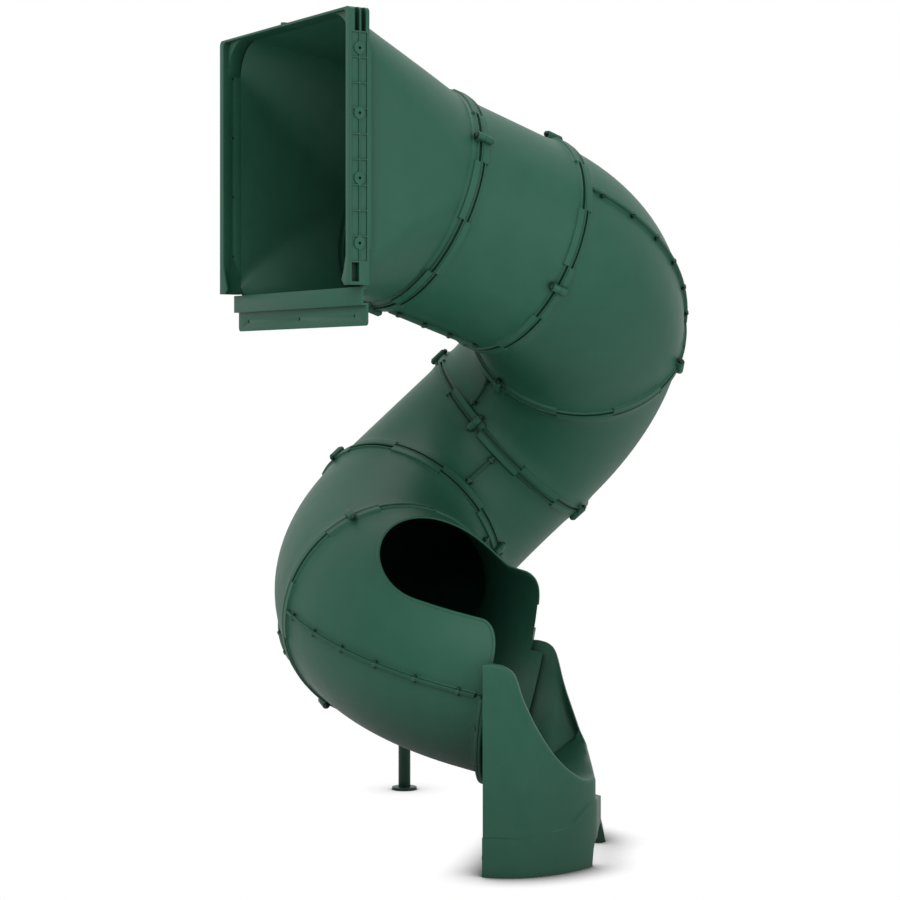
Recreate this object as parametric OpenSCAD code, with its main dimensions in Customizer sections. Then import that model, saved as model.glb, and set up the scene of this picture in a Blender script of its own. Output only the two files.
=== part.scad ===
// Spiral tube slide for a raised play deck, millimetres, +Z up.
// Origin: on the deck face, at the middle hole of the plate that screws to it.
// +X points from the deck into the slide, +Y to the left of a rider who sits at the mouth.

/* [Tube] */
// Inside diameter of the round tube
tube_bore = 610; // [580:5:640]
// Thickness of the moulded walls
wall = 5; // [4:0.5:6]
// How far the joint bands stand proud of the tube
band_proud = 12; // [8:1:16]
// Length of the tall blocks of a joint band, along the tube
block_len = 22; // [16:1:26]
// Length of the channels of a joint band, along the tube
channel_len = 15; // [12:1:16]
// Width of the ribs that edge a channel
rib_w = 3.5; // [2.5:0.5:4.5]

/* [Route] */
// Height of the deck floor above the ground
deck_height = 1524; // [1450:1:1650]
// Distance from the deck face to the middle of the first joint
entry_run = 354; // [320:1:400]
// Height of the first joint's middle above the deck floor
entry_rise = 262; // [240:1:290]
// Downward slope of the first joint and the straight tube, in degrees
entry_slope = 18.6; // [14:0.2:22]
// Length of the straight tube
straight_len = 354; // [300:1:420]
// Radius of the middle line of an elbow
bend_radius = 489; // [450:1:540]
// Angle that one elbow turns through
bend_angle = 55.25; // [50:0.25:58]

/* [Mouth] */
// Overall width of the mouth
mouth_w = 736; // [700:1:780]
// Height of the mouth's side walls
mouth_h = 706; // [680:1:740]
// Thickness of the side walls where they meet the deck posts
side_t = 22; // [18:1:28]
// How far the side walls reach over the deck, ahead of the deck face
side_reach = 54; // [44:1:64]
// Diameter of the screw holes
screw_d = 8; // [6:0.5:10]
// Distance between the screw holes of a side wall
side_hole_pitch = 165; // [150:1:175]
// Distance between the ribs of a side wall
rib_pitch = 64.8; // [60:0.2:66]
// Distance from the middle hole of the deck plate to the end holes
plate_hole_pitch = 297; // [270:1:310]
// Height of the deck plate's sill
sill_h = 47; // [36:1:60]
// Height of the deck plate's screwed flange
flange_h = 52; // [40:1:60]
// How far the sill stands out from the deck face
sill_reach = 15; // [10:1:20]

/* [Exit] */
// Half width of the opening in the exit tube
hood_half_w = 248; // [220:1:262]
// Angle along the exit tube at which the opening begins
hood_start = 10.5; // [8:0.5:16]
// Angle over which the rounded end of the opening spreads
hood_round = 25; // [20:1:30]
// Radius of the flange that meets the landing
exit_flange_r = 338; // [334:1:342]

/* [Landing] */
// Half width of the landing
land_half_w = 350; // [346:1:360]
// Length of the landing from the exit flange to the front edge
land_len = 240; // [220:1:270]
// Height of the landing walls above the middle of the exit flange
land_rise = 38; // [30:1:50]
// Height of the skirt along the sides
skirt_h = 100; // [80:1:110]
// Height of the skirt across the front
skirt_front_h = 150; // [140:1:160]
// How far the skirt stands proud
skirt_proud = 9; // [6:1:12]
// Depth of the run-out floor below the middle of the exit flange
floor_drop = 313; // [311:1:316]

/* [Support post] */
// Outside diameter of the post
post_d = 38; // [32:1:42]
// Wall of the post
post_wall = 2.5; // [2:0.5:4]
// Diameter of the ground plate
ground_plate_d = 78; // [70:1:90]
// Thickness of the ground plate
ground_plate_t = 8; // [6:1:10]
// Distance from the middle line of the tube to the post
post_offset = 462; // [440:1:480]

/* [Fasteners] */
// Shank diameter of the joint bolts
joint_bolt_d = 8; // [6:1:8]
// Shank diameter of the seam bolts
seam_bolt_d = 6; // [5:1:6]
// Gap between a shank and its hole, all round
hole_gap = 0.25; // [0.2:0.05:0.4]

/* [Hidden] */
$fn = 64;

far = 1200;
green = [0.13, 0.33, 0.26];
metal = [0.10, 0.14, 0.13];

bore_r = tube_bore / 2;
tube_r = bore_r + wall;
mid_r = bore_r + wall / 2;
band_r = tube_r + band_proud;
channel_floor_r = tube_r + 3;
block_top_r = band_r - 0.6;
foot_len = block_len + 1;

// Lugs that carry the joint bolts
lug_r = tube_r + 15;
lug_round = 11;
lug_len = block_len + 2;

// Lips of the long seams
lip_t = 4;
lip_out_r = tube_r + 12;
lip_hole_r = tube_r + 6;
lip_clear = block_len + 1;

// Transforms as matrices
function shift(v) = [[1, 0, 0, v[0]], [0, 1, 0, v[1]], [0, 0, 1, v[2]], [0, 0, 0, 1]];
function roll(a) = [[1, 0, 0, 0], [0, cos(a), -sin(a), 0], [0, sin(a), cos(a), 0], [0, 0, 0, 1]];
function pitch(a) = [[cos(a), 0, sin(a), 0], [0, 1, 0, 0], [-sin(a), 0, cos(a), 0], [0, 0, 0, 1]];
function yaw(a) = [[cos(a), -sin(a), 0, 0], [sin(a), cos(a), 0, 0], [0, 0, 1, 0], [0, 0, 0, 1]];

// Frames along the slide: X down the tube, elbows bend towards +Y in their own XY plane.
// Each elbow is rolled on from the last by one of the twelve stretches of a joint band.
joint_roll = 30;
deck_z = sill_h + flange_h / 2;
ground_z = deck_z - deck_height;
joint_1_z = deck_z + entry_rise;
entry_frame = shift([entry_run, 0, joint_1_z]) * pitch(entry_slope);
straight_frame = entry_frame * roll(90);
bend_step = shift([bend_radius * sin(bend_angle), bend_radius * (1 - cos(bend_angle)), 0])
    * yaw(bend_angle);
function elbow_frame(k) = k == 1
    ? entry_frame * shift([straight_len, 0, 0]) * roll(-joint_roll)
    : elbow_frame(k - 1) * bend_step * roll(-joint_roll);
function elbow_end(k) = elbow_frame(k) * bend_step;

// Lug angles at each joint, measured in the frame of the tube that follows it
lug_angles = [
    [62, 188, 302], [128, 237, 10], [236, 350, 116], [88, 288, 20], [242, 350, 118], [240, 120, 10]
];

// Exit flange, seen from above
exit_frame = elbow_end(5);
exit_dir = [exit_frame[0][0], exit_frame[1][0], exit_frame[2][0]];
exit_x = exit_frame[0][3];
exit_y = exit_frame[1][3];
exit_rise = exit_frame[2][3] - ground_z;
exit_heading = atan2(exit_dir[1], exit_dir[0]);
exit_slope = asin(-exit_dir[2]);
exit_roll = asin(exit_frame[2][1] / cos(exit_slope));

function pick(side, upper, lower) = side > 0 ? upper : lower;
function grid(step, count, middle = 0) = [for (i = [0:count - 1]) middle + (i - (count - 1) / 2) * step];

// A profile with x as radius and y along the tube, swept about the tube's middle line
module around(start, span) {
    rotate([90, 0, 90]) rotate([0, 0, start]) rotate_extrude(angle = span) children();
}

// Children placed at an angle round the tube, +Y pointing outwards
module at_angle(a) {
    rotate([a, 0, 0]) children();
}

// Half of the tube wall as a profile, above or below the seam
module half_wall(side) {
    difference() {
        circle(r = tube_r);
        circle(r = bore_r);
        translate([-tube_r - 1, pick(side, -tube_r - 1, 0)]) square([2 * tube_r + 2, tube_r + 1]);
    }
}

// Side view of a joint band: a rim, a channel and a rib, on a foot as thick as the wall when inner is the bore
module channel_profile(dir, inner, foot_r = tube_r) {
    foot = inner < mid_r ? foot_len : channel_len;
    polygon([
        [inner, 0],
        [band_r, 0],
        [band_r, dir * rib_w],
        [channel_floor_r, dir * rib_w],
        [channel_floor_r, dir * (channel_len - rib_w)],
        [band_r - 2, dir * (channel_len - rib_w)],
        [band_r - 2, dir * channel_len],
        [foot_r, dir * channel_len],
        [foot_r, dir * foot],
        [inner, dir * foot]
    ]);
}

// Tall blocks of half a joint band, in every other one of its twelve stretches: where one tube has a
// block, the tube that it meets has a channel
module half_blocks(side, dir, first = 0) {
    for (k = [first:2:6]) {
        a0 = max(0, 30 * k - 15);
        a1 = min(180, 30 * k + 15);
        around(pick(side, 0, 180) + a0, a1 - a0) translate([mid_r, min(dir * rib_w / 2, dir * block_len)])
            square([block_top_r - mid_r, block_len - rib_w / 2]);
    }
}

// Half of a joint band, from an inner radius outwards
module half_band(side, dir, inner = mid_r, foot_r = tube_r, first = 0) {
    around(pick(side, 0, 180), 180) channel_profile(dir, inner, foot_r);
    half_blocks(side, dir, first);
}

function in_half(a, side) = pick(side, sin(a) > 0, sin(a) <= 0);

// Lugs of one half at one end
module half_lugs(angles, side, dir) {
    for (a = angles) {
        if (in_half(a, side)) at_angle(a) translate([min(0, dir * lug_len), 0, 0])
            rotate([90, 0, 90]) linear_extrude(height = lug_len) {
                translate([lug_r, 0]) circle(r = lug_round);
                translate([mid_r, -lug_round]) square([lug_r - mid_r, 2 * lug_round]);
            }
    }
}

module lug_holes(angles) {
    for (a = angles) at_angle(a) translate([-lug_len - 1, lug_r, 0])
        rotate([0, 90, 0]) cylinder(r = joint_bolt_d / 2 + hole_gap, h = 2 * lug_len + 2);
}

// Bend angle that a length takes up at a distance from the bend's middle
function arc_angle(len, r) = len / r * 180 / PI;

outer_lip_start = arc_angle(lip_clear, bend_radius + tube_r);
inner_lip_start = arc_angle(lip_clear, bend_radius - tube_r);
outer_bolt_angles = grid(9.1, 6, bend_angle / 2 - 0.3);
inner_bolt_angles = grid(30, 2, bend_angle / 2);

// Sweep of a profile round the bend of an elbow, from one angle to another
module bend(a0, a1) {
    translate([0, bend_radius, 0]) rotate([0, 0, a0 - 90]) rotate_extrude(angle = a1 - a0)
        translate([bend_radius, 0]) children();
}

module at_bend(a, offset) {
    translate([0, bend_radius, 0]) rotate([0, 0, a]) translate([0, -bend_radius - offset, 0]) children();
}

module elbow_lips(side) {
    bend(outer_lip_start, bend_angle - outer_lip_start)
        translate([mid_r, pick(side, 0, -lip_t)]) square([lip_out_r - mid_r, lip_t]);
    bend(inner_lip_start, bend_angle - inner_lip_start)
        translate([-lip_out_r, pick(side, 0, -lip_t)]) square([lip_out_r - mid_r, lip_t]);
}

module elbow_lip_places() {
    for (a = outer_bolt_angles) at_bend(a, lip_hole_r) children();
    for (a = inner_bolt_angles) at_bend(a, -lip_hole_r) children();
}

module seam_holes() {
    elbow_lip_places() cylinder(r = seam_bolt_d / 2 + hole_gap, h = 4 * lip_t, center = true);
}

// Angles of the lugs at the far end of a tube, seen in its own frame
function end_angles(joint, turn) = [for (a = lug_angles[joint - 1]) a - turn];

module elbow_end_place() {
    multmatrix(bend_step) children();
}

// Half of elbow k, between joints k + 1 and k + 2
module elbow_half(k, side) {
    multmatrix(elbow_frame(k)) difference() {
        union() {
            bend(0, bend_angle) half_wall(side);
            half_band(side, 1);
            half_lugs(lug_angles[k], side, 1);
            elbow_lips(side);
            elbow_end_place() {
                half_band(side, -1);
                half_lugs(end_angles(k + 2, joint_roll), side, -1);
            }
        }
        seam_holes();
        lug_holes(lug_angles[k]);
        elbow_end_place() lug_holes(end_angles(k + 2, joint_roll));
    }
}

// Straight tube between joints 1 and 2, split down the middle
straight_bolt_x = grid(86.5, 4, straight_len / 2 + 10);

module straight_lips(side) {
    for (up = [-1, 1]) translate([lip_clear, up > 0 ? mid_r : -lip_out_r, pick(side, 0, -lip_t)])
        cube([straight_len - 2 * lip_clear, lip_out_r - mid_r, lip_t]);
}

module straight_lip_places() {
    for (x = straight_bolt_x) for (up = [-1, 1]) translate([x, up * lip_hole_r, 0]) children();
}

// Side view of the straight tube's wall with the bands at both ends
module straight_profile() {
    channel_profile(1, bore_r);
    translate([bore_r, foot_len - 1]) square([wall, straight_len - 2 * foot_len + 2]);
    translate([0, straight_len]) channel_profile(-1, bore_r);
}

module straight_half(side) {
    multmatrix(straight_frame) difference() {
        union() {
            around(pick(side, 0, 180), 180) straight_profile();
            half_blocks(side, 1);
            half_lugs(lug_angles[0], side, 1);
            straight_lips(side);
            translate([straight_len, 0, 0]) {
                half_blocks(side, -1, 1);
                half_lugs(end_angles(2, 90 + joint_roll), side, -1);
            }
        }
        straight_lip_places() cylinder(r = seam_bolt_d / 2 + hole_gap, h = 4 * lip_t, center = true);
        lug_holes(lug_angles[0]);
        translate([straight_len, 0, 0]) lug_holes(end_angles(2, 90 + joint_roll));
    }
}

// Entrance: a funnel from the square mouth to the round tube, in two halves
mouth_bottom = deck_z + 4;
mouth_top = mouth_bottom + mouth_h;
mouth_round = 14;
web_round = 95;
sill_round = 28;
top_t = wall + 1;
inner_half_w = mouth_w / 2 - side_t;
funnel_half_h = (mouth_top - top_t - deck_z) / 2 + wall;
funnel_mid_z = deck_z - wall + funnel_half_h;
funnel_steps = 10;
corner_steps = 13;
funnel_parts = 2 * corner_steps + 2;
side_hole_x = -side_reach / 2 + 2;
side_hole_z = grid(side_hole_pitch, 4, (mouth_bottom + mouth_top) / 2);
rib_z = grid(rib_pitch, 10, (mouth_bottom + mouth_top) / 2 - 3);

function blend(t, a, b) = a + (b - a) * t;

// The funnel's wall ends just inside the joint band, a little thinner than the band's own wall
funnel_end = entry_frame * [1.5 - foot_len, 0, 0, 1];
funnel_end_r = tube_r - 0.2;
funnel_bite = 0.3;
walls_end = 3;
end_thinning = 0.64;

// Point j of the funnel's section at t, from the bottom seam over the side to the top seam
function section_point(t, j, inset) =
    let (
        upper = j > corner_steps,
        skin = inset * blend(pow(t, 6), 1, end_thinning),
        a = blend(t, inner_half_w + wall + funnel_bite, funnel_end_r) - skin,
        b = blend(t, funnel_half_h + funnel_bite, funnel_end_r) - skin,
        r = blend(pow(t, 0.75), (upper ? web_round : sill_round) + wall, funnel_end_r) - skin,
        q = 90 * ((upper ? j - corner_steps : j) - 0.5) / corner_steps
    )
    j == 0 ? [0, -b] : j == funnel_parts - 1 ? [0, b]
        : upper ? [a - r + r * cos(q), b - r + r * sin(q)] : [a - r + r * sin(q), r - b - r * cos(q)];

// A point of the funnel: t from mouth to joint, inset from the outside
function funnel_point(t, j, inset) =
    let (p = section_point(t, j, inset), lean = entry_slope * t)
    [blend(t, 0, funnel_end[0]) + p[1] * sin(lean), -p[0],
     blend(t, funnel_mid_z, funnel_end[2]) + p[1] * cos(lean)];

module funnel_half() {
    n = funnel_parts - 1;
    rows = funnel_steps;
    skin = [for (inset = [0, wall]) for (i = [0:rows]) for (j = [0:n])
        funnel_point(i / rows, j, inset)];
    m = n + 1;
    in0 = (rows + 1) * m;
    outer = [for (i = [0:rows - 1]) for (j = [0:n - 1]) each [
        [i * m + j, i * m + j + 1, (i + 1) * m + j + 1], [i * m + j, (i + 1) * m + j + 1, (i + 1) * m + j]]];
    inner = [for (i = [0:rows - 1]) for (j = [0:n - 1]) each [
        [in0 + i * m + j, in0 + (i + 1) * m + j + 1, in0 + i * m + j + 1],
        [in0 + i * m + j, in0 + (i + 1) * m + j, in0 + (i + 1) * m + j + 1]]];
    mouth_rim = [for (j = [0:n - 1]) [j, in0 + j, in0 + j + 1, j + 1]];
    joint_rim = [for (j = [0:n - 1])
        let (a = rows * m + j) [a, a + 1, in0 + a + 1, in0 + a]];
    seams = [for (i = [0:rows - 1]) each [
        [i * m, (i + 1) * m, in0 + (i + 1) * m, in0 + i * m],
        [i * m + n, in0 + i * m + n, in0 + (i + 1) * m + n, (i + 1) * m + n]]];
    polyhedron(points = skin, faces = concat(outer, inner, mouth_rim, joint_rim, seams));
}

// Stiffening recesses, deep end pockets, screw bosses and holes of a side wall, cut from outside
module side_wall_cuts() {
    skin_y = -mouth_w / 2;
    columns = [[-side_reach + 5, side_hole_x - 2], [side_hole_x + 2, -4]];
    for (c = columns) for (i = [0:len(rib_z) - 2]) difference() {
        translate([c[0], skin_y - 1, rib_z[i] + 1.5])
            cube([c[1] - c[0], 1 + recess_depth, rib_z[i + 1] - rib_z[i] - 3]);
        for (z = side_hole_z) translate([side_hole_x, skin_y - 2, z])
            rotate([-90, 0, 0]) cylinder(r = boss_r, h = side_t);
    }
    top_z = rib_z[len(rib_z) - 1] + 2;
    for (x = [-side_reach + 14, side_hole_x + 4]) translate([x, skin_y - 1, top_z])
        cube([14, side_t - 4, mouth_top - top_z]);
    translate([-side_reach + 5, skin_y - 1, mouth_bottom + 8])
        cube([side_hole_x + side_reach - 7, side_t - 4, rib_z[0] - mouth_bottom - 10]);
    for (z = side_hole_z) translate([side_hole_x, skin_y - 1, z])
        rotate([-90, 0, 0]) cylinder(d = screw_d, h = side_t + 2);
}

// Front view of one half of the mouth, side wall and top wall, with a radius in the inner corner
module mouth_profile(inner_round = mouth_round) {
    difference() {
        union() {
            translate([-mouth_w / 2, mouth_bottom]) square([mouth_w / 2, mouth_h - mouth_round]);
            translate([-mouth_w / 2 + mouth_round, mouth_bottom])
                square([mouth_w / 2 - mouth_round, mouth_h]);
            translate([-mouth_w / 2 + mouth_round, mouth_top - mouth_round]) circle(r = mouth_round);
        }
        translate([-inner_half_w, mouth_bottom - 1])
            square([inner_half_w + 1, mouth_h - top_t - inner_round + 1]);
        translate([-inner_half_w + inner_round, mouth_bottom - 1])
            square([inner_half_w - inner_round + 1, mouth_h - top_t + 1]);
        translate([-inner_half_w + inner_round, mouth_top - top_t - inner_round]) circle(r = inner_round);
    }
}

module corner_gusset() {
    translate([-side_reach, 0, mouth_bottom]) rotate([90, 0, 90]) linear_extrude(height = 6) polygon([
        [-inner_half_w - 1, 0], [-inner_half_w + 8, 0], [-inner_half_w + gusset_w, 14],
        [-inner_half_w + gusset_w * 0.45, gusset_h * 0.5], [-inner_half_w - 1, gusset_h]
    ]);
}

recess_depth = 3;
boss_r = 16;
gusset_w = 22;
gusset_h = 80;
ear_len = 9;

// Corner web: a step back from the front edge, a rounded skin behind it and a pocket over the skin
web_x = -40;
web_t = 6;

module web_skin_profile(r) {
    translate([-inner_half_w + web_round, mouth_top - top_t - web_round]) circle(r = r);
}

module mouth_walls() {
    translate([-side_reach, 0, 0]) rotate([90, 0, 90])
        linear_extrude(height = side_reach + walls_end) mouth_profile();
    translate([web_x, 0, 0]) rotate([90, 0, 90]) linear_extrude(height = web_t) mouth_profile(web_round);
    translate([web_x + 1, 0, 0]) rotate([90, 0, 90]) linear_extrude(height = -web_x - 1 - top_t / 2)
        intersection() {
            difference() {
                web_skin_profile(web_round + wall);
                web_skin_profile(web_round);
            }
            translate([-inner_half_w - wall / 2, mouth_top - top_t - web_round])
                square([web_round + wall / 2, web_round + wall / 2]);
        }
}

// Wall between the mouth's outline and the funnel, at the deck face
module mouth_flange() {
    translate([-top_t, 0, 0]) rotate([90, 0, 90]) linear_extrude(height = top_t + walls_end - 0.5) difference() {
        translate([-inner_half_w - side_t / 2, mouth_bottom + 1])
            square([inner_half_w + side_t / 2, mouth_h - 1 - top_t / 2]);
        difference() {
            translate([-inner_half_w, mouth_top - top_t - web_round]) square(web_round);
            web_skin_profile(web_round + wall + 1.5);
        }
        translate([0, funnel_mid_z]) polygon([
            for (j = [0:funnel_parts - 1])
                let (p = section_point(0, j, wall / 2)) [-p[0] + (p[0] == 0 ? 1 : 0), p[1]]
        ]);
    }
}

entrance_bolt_t = [0.3, 0.58, 0.85];
entrance_lip_t = [0.03:0.11:0.91];
seam_ends = [0, funnel_parts - 1];

// Lips of the funnel's long seams, below and above
module funnel_lips() {
    for (j = seam_ends) {
        up = j == 0 ? -1 : 1;
        line = [for (t = entrance_lip_t) funnel_point(t, j, 0)];
        rotate([90, 0, 0]) linear_extrude(height = lip_t)
            polygon(concat(
                [for (p = line) [p[0], p[2] - up * wall / 2]],
                reversed([for (p = line) [p[0], p[2] + up * (lip_out_r - tube_r)]])
            ));
    }
}

module funnel_lip_places() {
    for (t = entrance_bolt_t) for (j = seam_ends) {
        p = funnel_point(t, j, 0);
        translate([p[0], 0, p[2] + (j == 0 ? -1 : 1) * (lip_hole_r - tube_r)]) rotate([90, 0, 0]) children();
    }
}

// The right-hand half of the entrance is side 1, its mirror image is side -1
module entrance_half(side) {
    angles = [for (a = lug_angles[0]) side * a];
    mirror([0, pick(side, 0, 1), 0]) difference() {
        union() {
            difference() {
                union() {
                    mouth_walls();
                    translate([0, -mouth_w / 2, rib_z[1] - rib_pitch / 2])
                        cube([ear_len, side_t, rib_z[9] - rib_z[1] - 10]);
                }
                side_wall_cuts();
            }
            corner_gusset();
            mouth_flange();
            translate([-side_reach, -6, mouth_top - 1]) cube([side_reach - 4, 6, 6]);
            funnel_half();
            funnel_lips();
            multmatrix(straight_frame) {
                half_band(1, -1, bore_r, tube_r + 1.5, 1);
                half_lugs(angles, 1, -1);
            }
        }
        funnel_lip_places() cylinder(r = seam_bolt_d / 2 + hole_gap, h = 4 * lip_t, center = true);
        multmatrix(straight_frame) lug_holes(angles);
    }
}

module entrance_left() {
    color(green) entrance_half(-1);
}

module entrance_right() {
    color(green) entrance_half(1);
}

// Plate that carries the mouth's floor edge and screws to the deck face
plate_t = 6;
plate_w = mouth_w - 20;
plate_ribs = 5;
seat_gap = 0.3;

module deck_plate_section() {
    polygon([
        [-sill_reach, deck_z], [-sill_reach, flange_h / 2],
        [0, flange_h / 2], [0, -flange_h / 2],
        [plate_t, -flange_h / 2], [plate_t, flange_h / 2 + plate_t],
        [plate_t - sill_reach, flange_h / 2 + plate_t], [plate_t - sill_reach, deck_z - plate_t],
        [-seat_gap, deck_z - plate_t], [-seat_gap, deck_z]
    ]);
}

module deck_plate() {
    color(green) difference() {
        union() {
            rotate([90, 0, 0]) linear_extrude(height = plate_w, center = true) deck_plate_section();
            for (y = grid(plate_w / (plate_ribs + 1), plate_ribs))
                translate([1 - sill_reach, y - rib_w / 2, flange_h / 2 + 1])
                    cube([sill_reach - 1 - seat_gap, rib_w, sill_h - 2]);
        }
        for (y = grid(plate_hole_pitch, 3)) translate([-1, y, 0])
            rotate([0, 90, 0]) cylinder(d = screw_d + 1, h = plate_t + 2);
        for (s = [-1, 1]) translate([plate_t / 2, s * plate_w / 2, -flange_h / 2])
            rotate([0, 90, 0]) corner_cut(10, s);
    }
}

// Rounds a lower corner of the screwed flange
module corner_cut(r, s) {
    translate([0, -s * r, 0]) difference() {
        translate([-r, min(0, s * (r + 1)), -plate_t]) cube([2 * r, r + 1, 2 * plate_t]);
        translate([-r, 0, -plate_t - 1]) cylinder(r = r, h = 2 * plate_t + 2);
        translate([-3 * r, -2 * r, -plate_t - 1]) cube([2 * r, 4 * r, 2 * plate_t + 2]);
    }
}

module straight_left() {
    color(green) straight_half(-1);
}

module straight_right() {
    color(green) straight_half(1);
}

module elbow_1_upper() {
    color(green) elbow_half(1, 1);
}

module elbow_1_lower() {
    color(green) elbow_half(1, -1);
}

module elbow_2_upper() {
    color(green) elbow_half(2, 1);
}

module elbow_2_lower() {
    color(green) elbow_half(2, -1);
}

module elbow_3_upper() {
    color(green) elbow_half(3, 1);
}

module elbow_3_lower() {
    color(green) elbow_half(3, -1);
}

module elbow_4_upper() {
    color(green) elbow_half(4, 1);
}

module elbow_4_lower() {
    color(green) elbow_half(4, -1);
}

// Exit tube: the fifth elbow, cut open above the rider
function bend_point(a, out) = [(bend_radius + out) * sin(a), bend_radius - (bend_radius + out) * cos(a)];

// Outline of the opening seen from above the bend, grown by a margin
function hood_side(s, grow) = concat(
    [for (t = [0:9:90]) bend_point(hood_start + hood_round * (1 - cos(t)) - arc_angle(grow, bend_radius) * cos(t),
        s * (hood_half_w + grow) * sin(t))],
    [for (a = [38:4:50]) bend_point(a, s * (hood_half_w + grow))],
    [for (t = [15:15:90]) bend_point(bend_angle - 4.2 + 4.2 * sin(t),
        s * (hood_half_w + grow + (bore_r - hood_half_w - 8) * (1 - cos(t))))],
    [bend_point(bend_angle + 2, s * (hood_half_w + grow + bore_r - hood_half_w - 8))]
);

function reversed(list) = [for (i = [len(list) - 1:-1:0]) list[i]];

module hood_outline(grow) {
    polygon(concat(hood_side(1, grow), reversed(hood_side(-1, grow))));
}

module exit_lips_and_bands(side) {
    half_band(side, 1);
    half_lugs(lug_angles[5], side, 1);
    elbow_lips(side);
}

module exit_upper() {
    color(green) multmatrix(elbow_frame(5)) difference() {
        union() {
            bend(0, bend_angle) half_wall(1);
            intersection() {
                bend(hood_start - 3, bend_angle) difference() {
                    circle(r = tube_r + 4);
                    circle(r = mid_r);
                    translate([-tube_r - 9, -2 * tube_r - 1]) square([2 * tube_r + 18, 2 * tube_r + 1 + lip_t]);
                }
                linear_extrude(height = far) hood_outline(9);
            }
            exit_lips_and_bands(1);
        }
        linear_extrude(height = far) hood_outline(0);
        seam_holes();
        lug_holes(lug_angles[5]);
    }
}

module exit_lower() {
    color(green) multmatrix(elbow_frame(5)) difference() {
        union() {
            bend(0, bend_angle) half_wall(-1);
            exit_lips_and_bands(-1);
            elbow_end_place() around(180, 180)
                translate([mid_r, -exit_flange_t]) square([exit_flange_r - mid_r, exit_flange_t]);
        }
        seam_holes();
        lug_holes(lug_angles[5]);
        elbow_end_place() landing_bolt_places() cylinder(r = joint_bolt_d / 2 + hole_gap, h = 40, center = true);
    }
}

exit_flange_t = 8;
landing_bolt_angles = [207, 237, 270, 303, 333];

// Places of the landing's bolts, level in spite of the exit tube's roll
module landing_bolt_places() {
    for (a = landing_bolt_angles) at_angle(a - exit_roll) translate([0, (tube_r + exit_flange_r) / 2, 0])
        rotate([0, 90, 0]) children();
}

// Landing: a hollow moulded trough that takes the rider from the exit to the ground
land_back = -8;
land_top = exit_rise + land_rise;
floor_z = exit_rise - floor_drop;
lip_z = floor_z + 20;
land_shoulder = 70;
near_front = -119;
corner_power = 2 / 1.7;
body_far_s = land_len - 75;
body_far_l = 240;
skirt_far_l = 235;
skirt_step_s = 205;

function land_corner(s0, l0, s1, l1, side) = [for (t = [0:7.5:90])
    [s0 + (s1 - s0) * pow(sin(t), corner_power), side * (l1 + (l0 - l1) * pow(cos(t), corner_power))]];

// Plan of the landing, grown by a margin, with the far front corner at a given place
function land_plan(grow, far_s, far_l) = concat(
    [[land_back - min(grow, 0), land_half_w + grow], [land_back - min(grow, 0), -land_half_w - grow]],
    land_corner(land_shoulder, land_half_w + grow, land_len + grow, -near_front, -1),
    reversed(land_corner(land_shoulder, land_half_w + grow, far_s + grow, far_l, 1))
);

module body_plan(grow) {
    polygon(land_plan(grow, body_far_s, body_far_l));
}

module skirt_plan() {
    polygon(land_plan(skirt_proud, land_len, skirt_far_l));
}

// Side view of the landing's walls, lowered by a margin
wall_fall_start = 45;
wall_fall_end = land_len - 15;
wall_slew = 3;
function wall_top(s, drop) = let (u = min(1, max(0, (s - wall_fall_start) / (wall_fall_end - wall_fall_start))))
    lip_z - drop + (land_top - lip_z) * pow(1 - pow(u, 1.25), 1.65);

module wall_side_view(drop) {
    rotate([90, 0, wall_slew]) linear_extrude(height = 2 * far, center = true) polygon(concat(
        [[-far / 2, -1], [-far / 2, land_top - drop]],
        [for (s = [wall_fall_start:9:land_len + 6]) [s, wall_top(s, drop)]],
        [[far / 2, lip_z - drop], [far / 2, -1]]
    ));
}

// Space that the rider slides through, a step lower than the tube, grown by a margin
trough_r = bore_r + 4;
run_out_r = 600;
run_out_start = 135;

module rider_space(grow) {
    translate([land_back - 20, 0, floor_z + trough_r]) rotate([0, 90, 0])
        cylinder(r = trough_r + grow, h = far / 2);
    translate([run_out_start - grow, 0, floor_z + run_out_r]) rotate([0, 90, 0])
        cylinder(r = run_out_r + grow, h = far / 2);
}

module in_exit_frame() {
    translate([0, 0, exit_rise]) rotate([0, exit_slope, 0]) children();
}

module at_exit() {
    translate([exit_x, exit_y, ground_z]) rotate([0, 0, exit_heading]) children();
}

module landing_shell() {
    difference() {
        union() {
            intersection() {
                linear_extrude(height = land_top) body_plan(0);
                wall_side_view(0);
            }
            linear_extrude(height = skirt_h) skirt_plan();
            intersection() {
                linear_extrude(height = skirt_front_h) skirt_plan();
                translate([skirt_step_s, -far / 2, 0]) cube([far, far, far]);
            }
        }
        rider_space(0);
        difference() {
            intersection() {
                translate([0, 0, -1]) linear_extrude(height = land_top) body_plan(-wall);
                wall_side_view(wall);
            }
            rider_space(wall);
        }
        in_exit_frame() translate([-150, 0, 0]) rotate([0, 90, 0]) cylinder(r = exit_flange_r + 1, h = 150);
        front_arch();
    }
}

// Arched gap under the front edge, between the two feet
arch_near = -95;
arch_far = 205;
arch_h = 60;
arch_r = 26;
arch_start = 180;
arch_side_w = 75;

module front_arch() {
    translate([arch_start, 0, 0]) rotate([90, 0, 90]) linear_extrude(height = 200) {
        translate([arch_near, -1]) square([arch_far - arch_near, arch_h - arch_r + 1]);
        translate([arch_near + arch_r, -1]) square([arch_far - arch_near - 2 * arch_r, arch_h + 1]);
        for (l = [arch_near + arch_r, arch_far - arch_r]) translate([l, arch_h - arch_r]) circle(r = arch_r);
    }
    translate([land_len + 1, 0, 0]) rotate([90, 0, 90]) linear_extrude(height = 40)
        translate([arch_near - arch_side_w, -1]) square([arch_side_w + arch_r - 1, arch_h + 1]);
}

// Half ring that joins the exit's flange to the landing's back wall
collar_len = 80;

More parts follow.
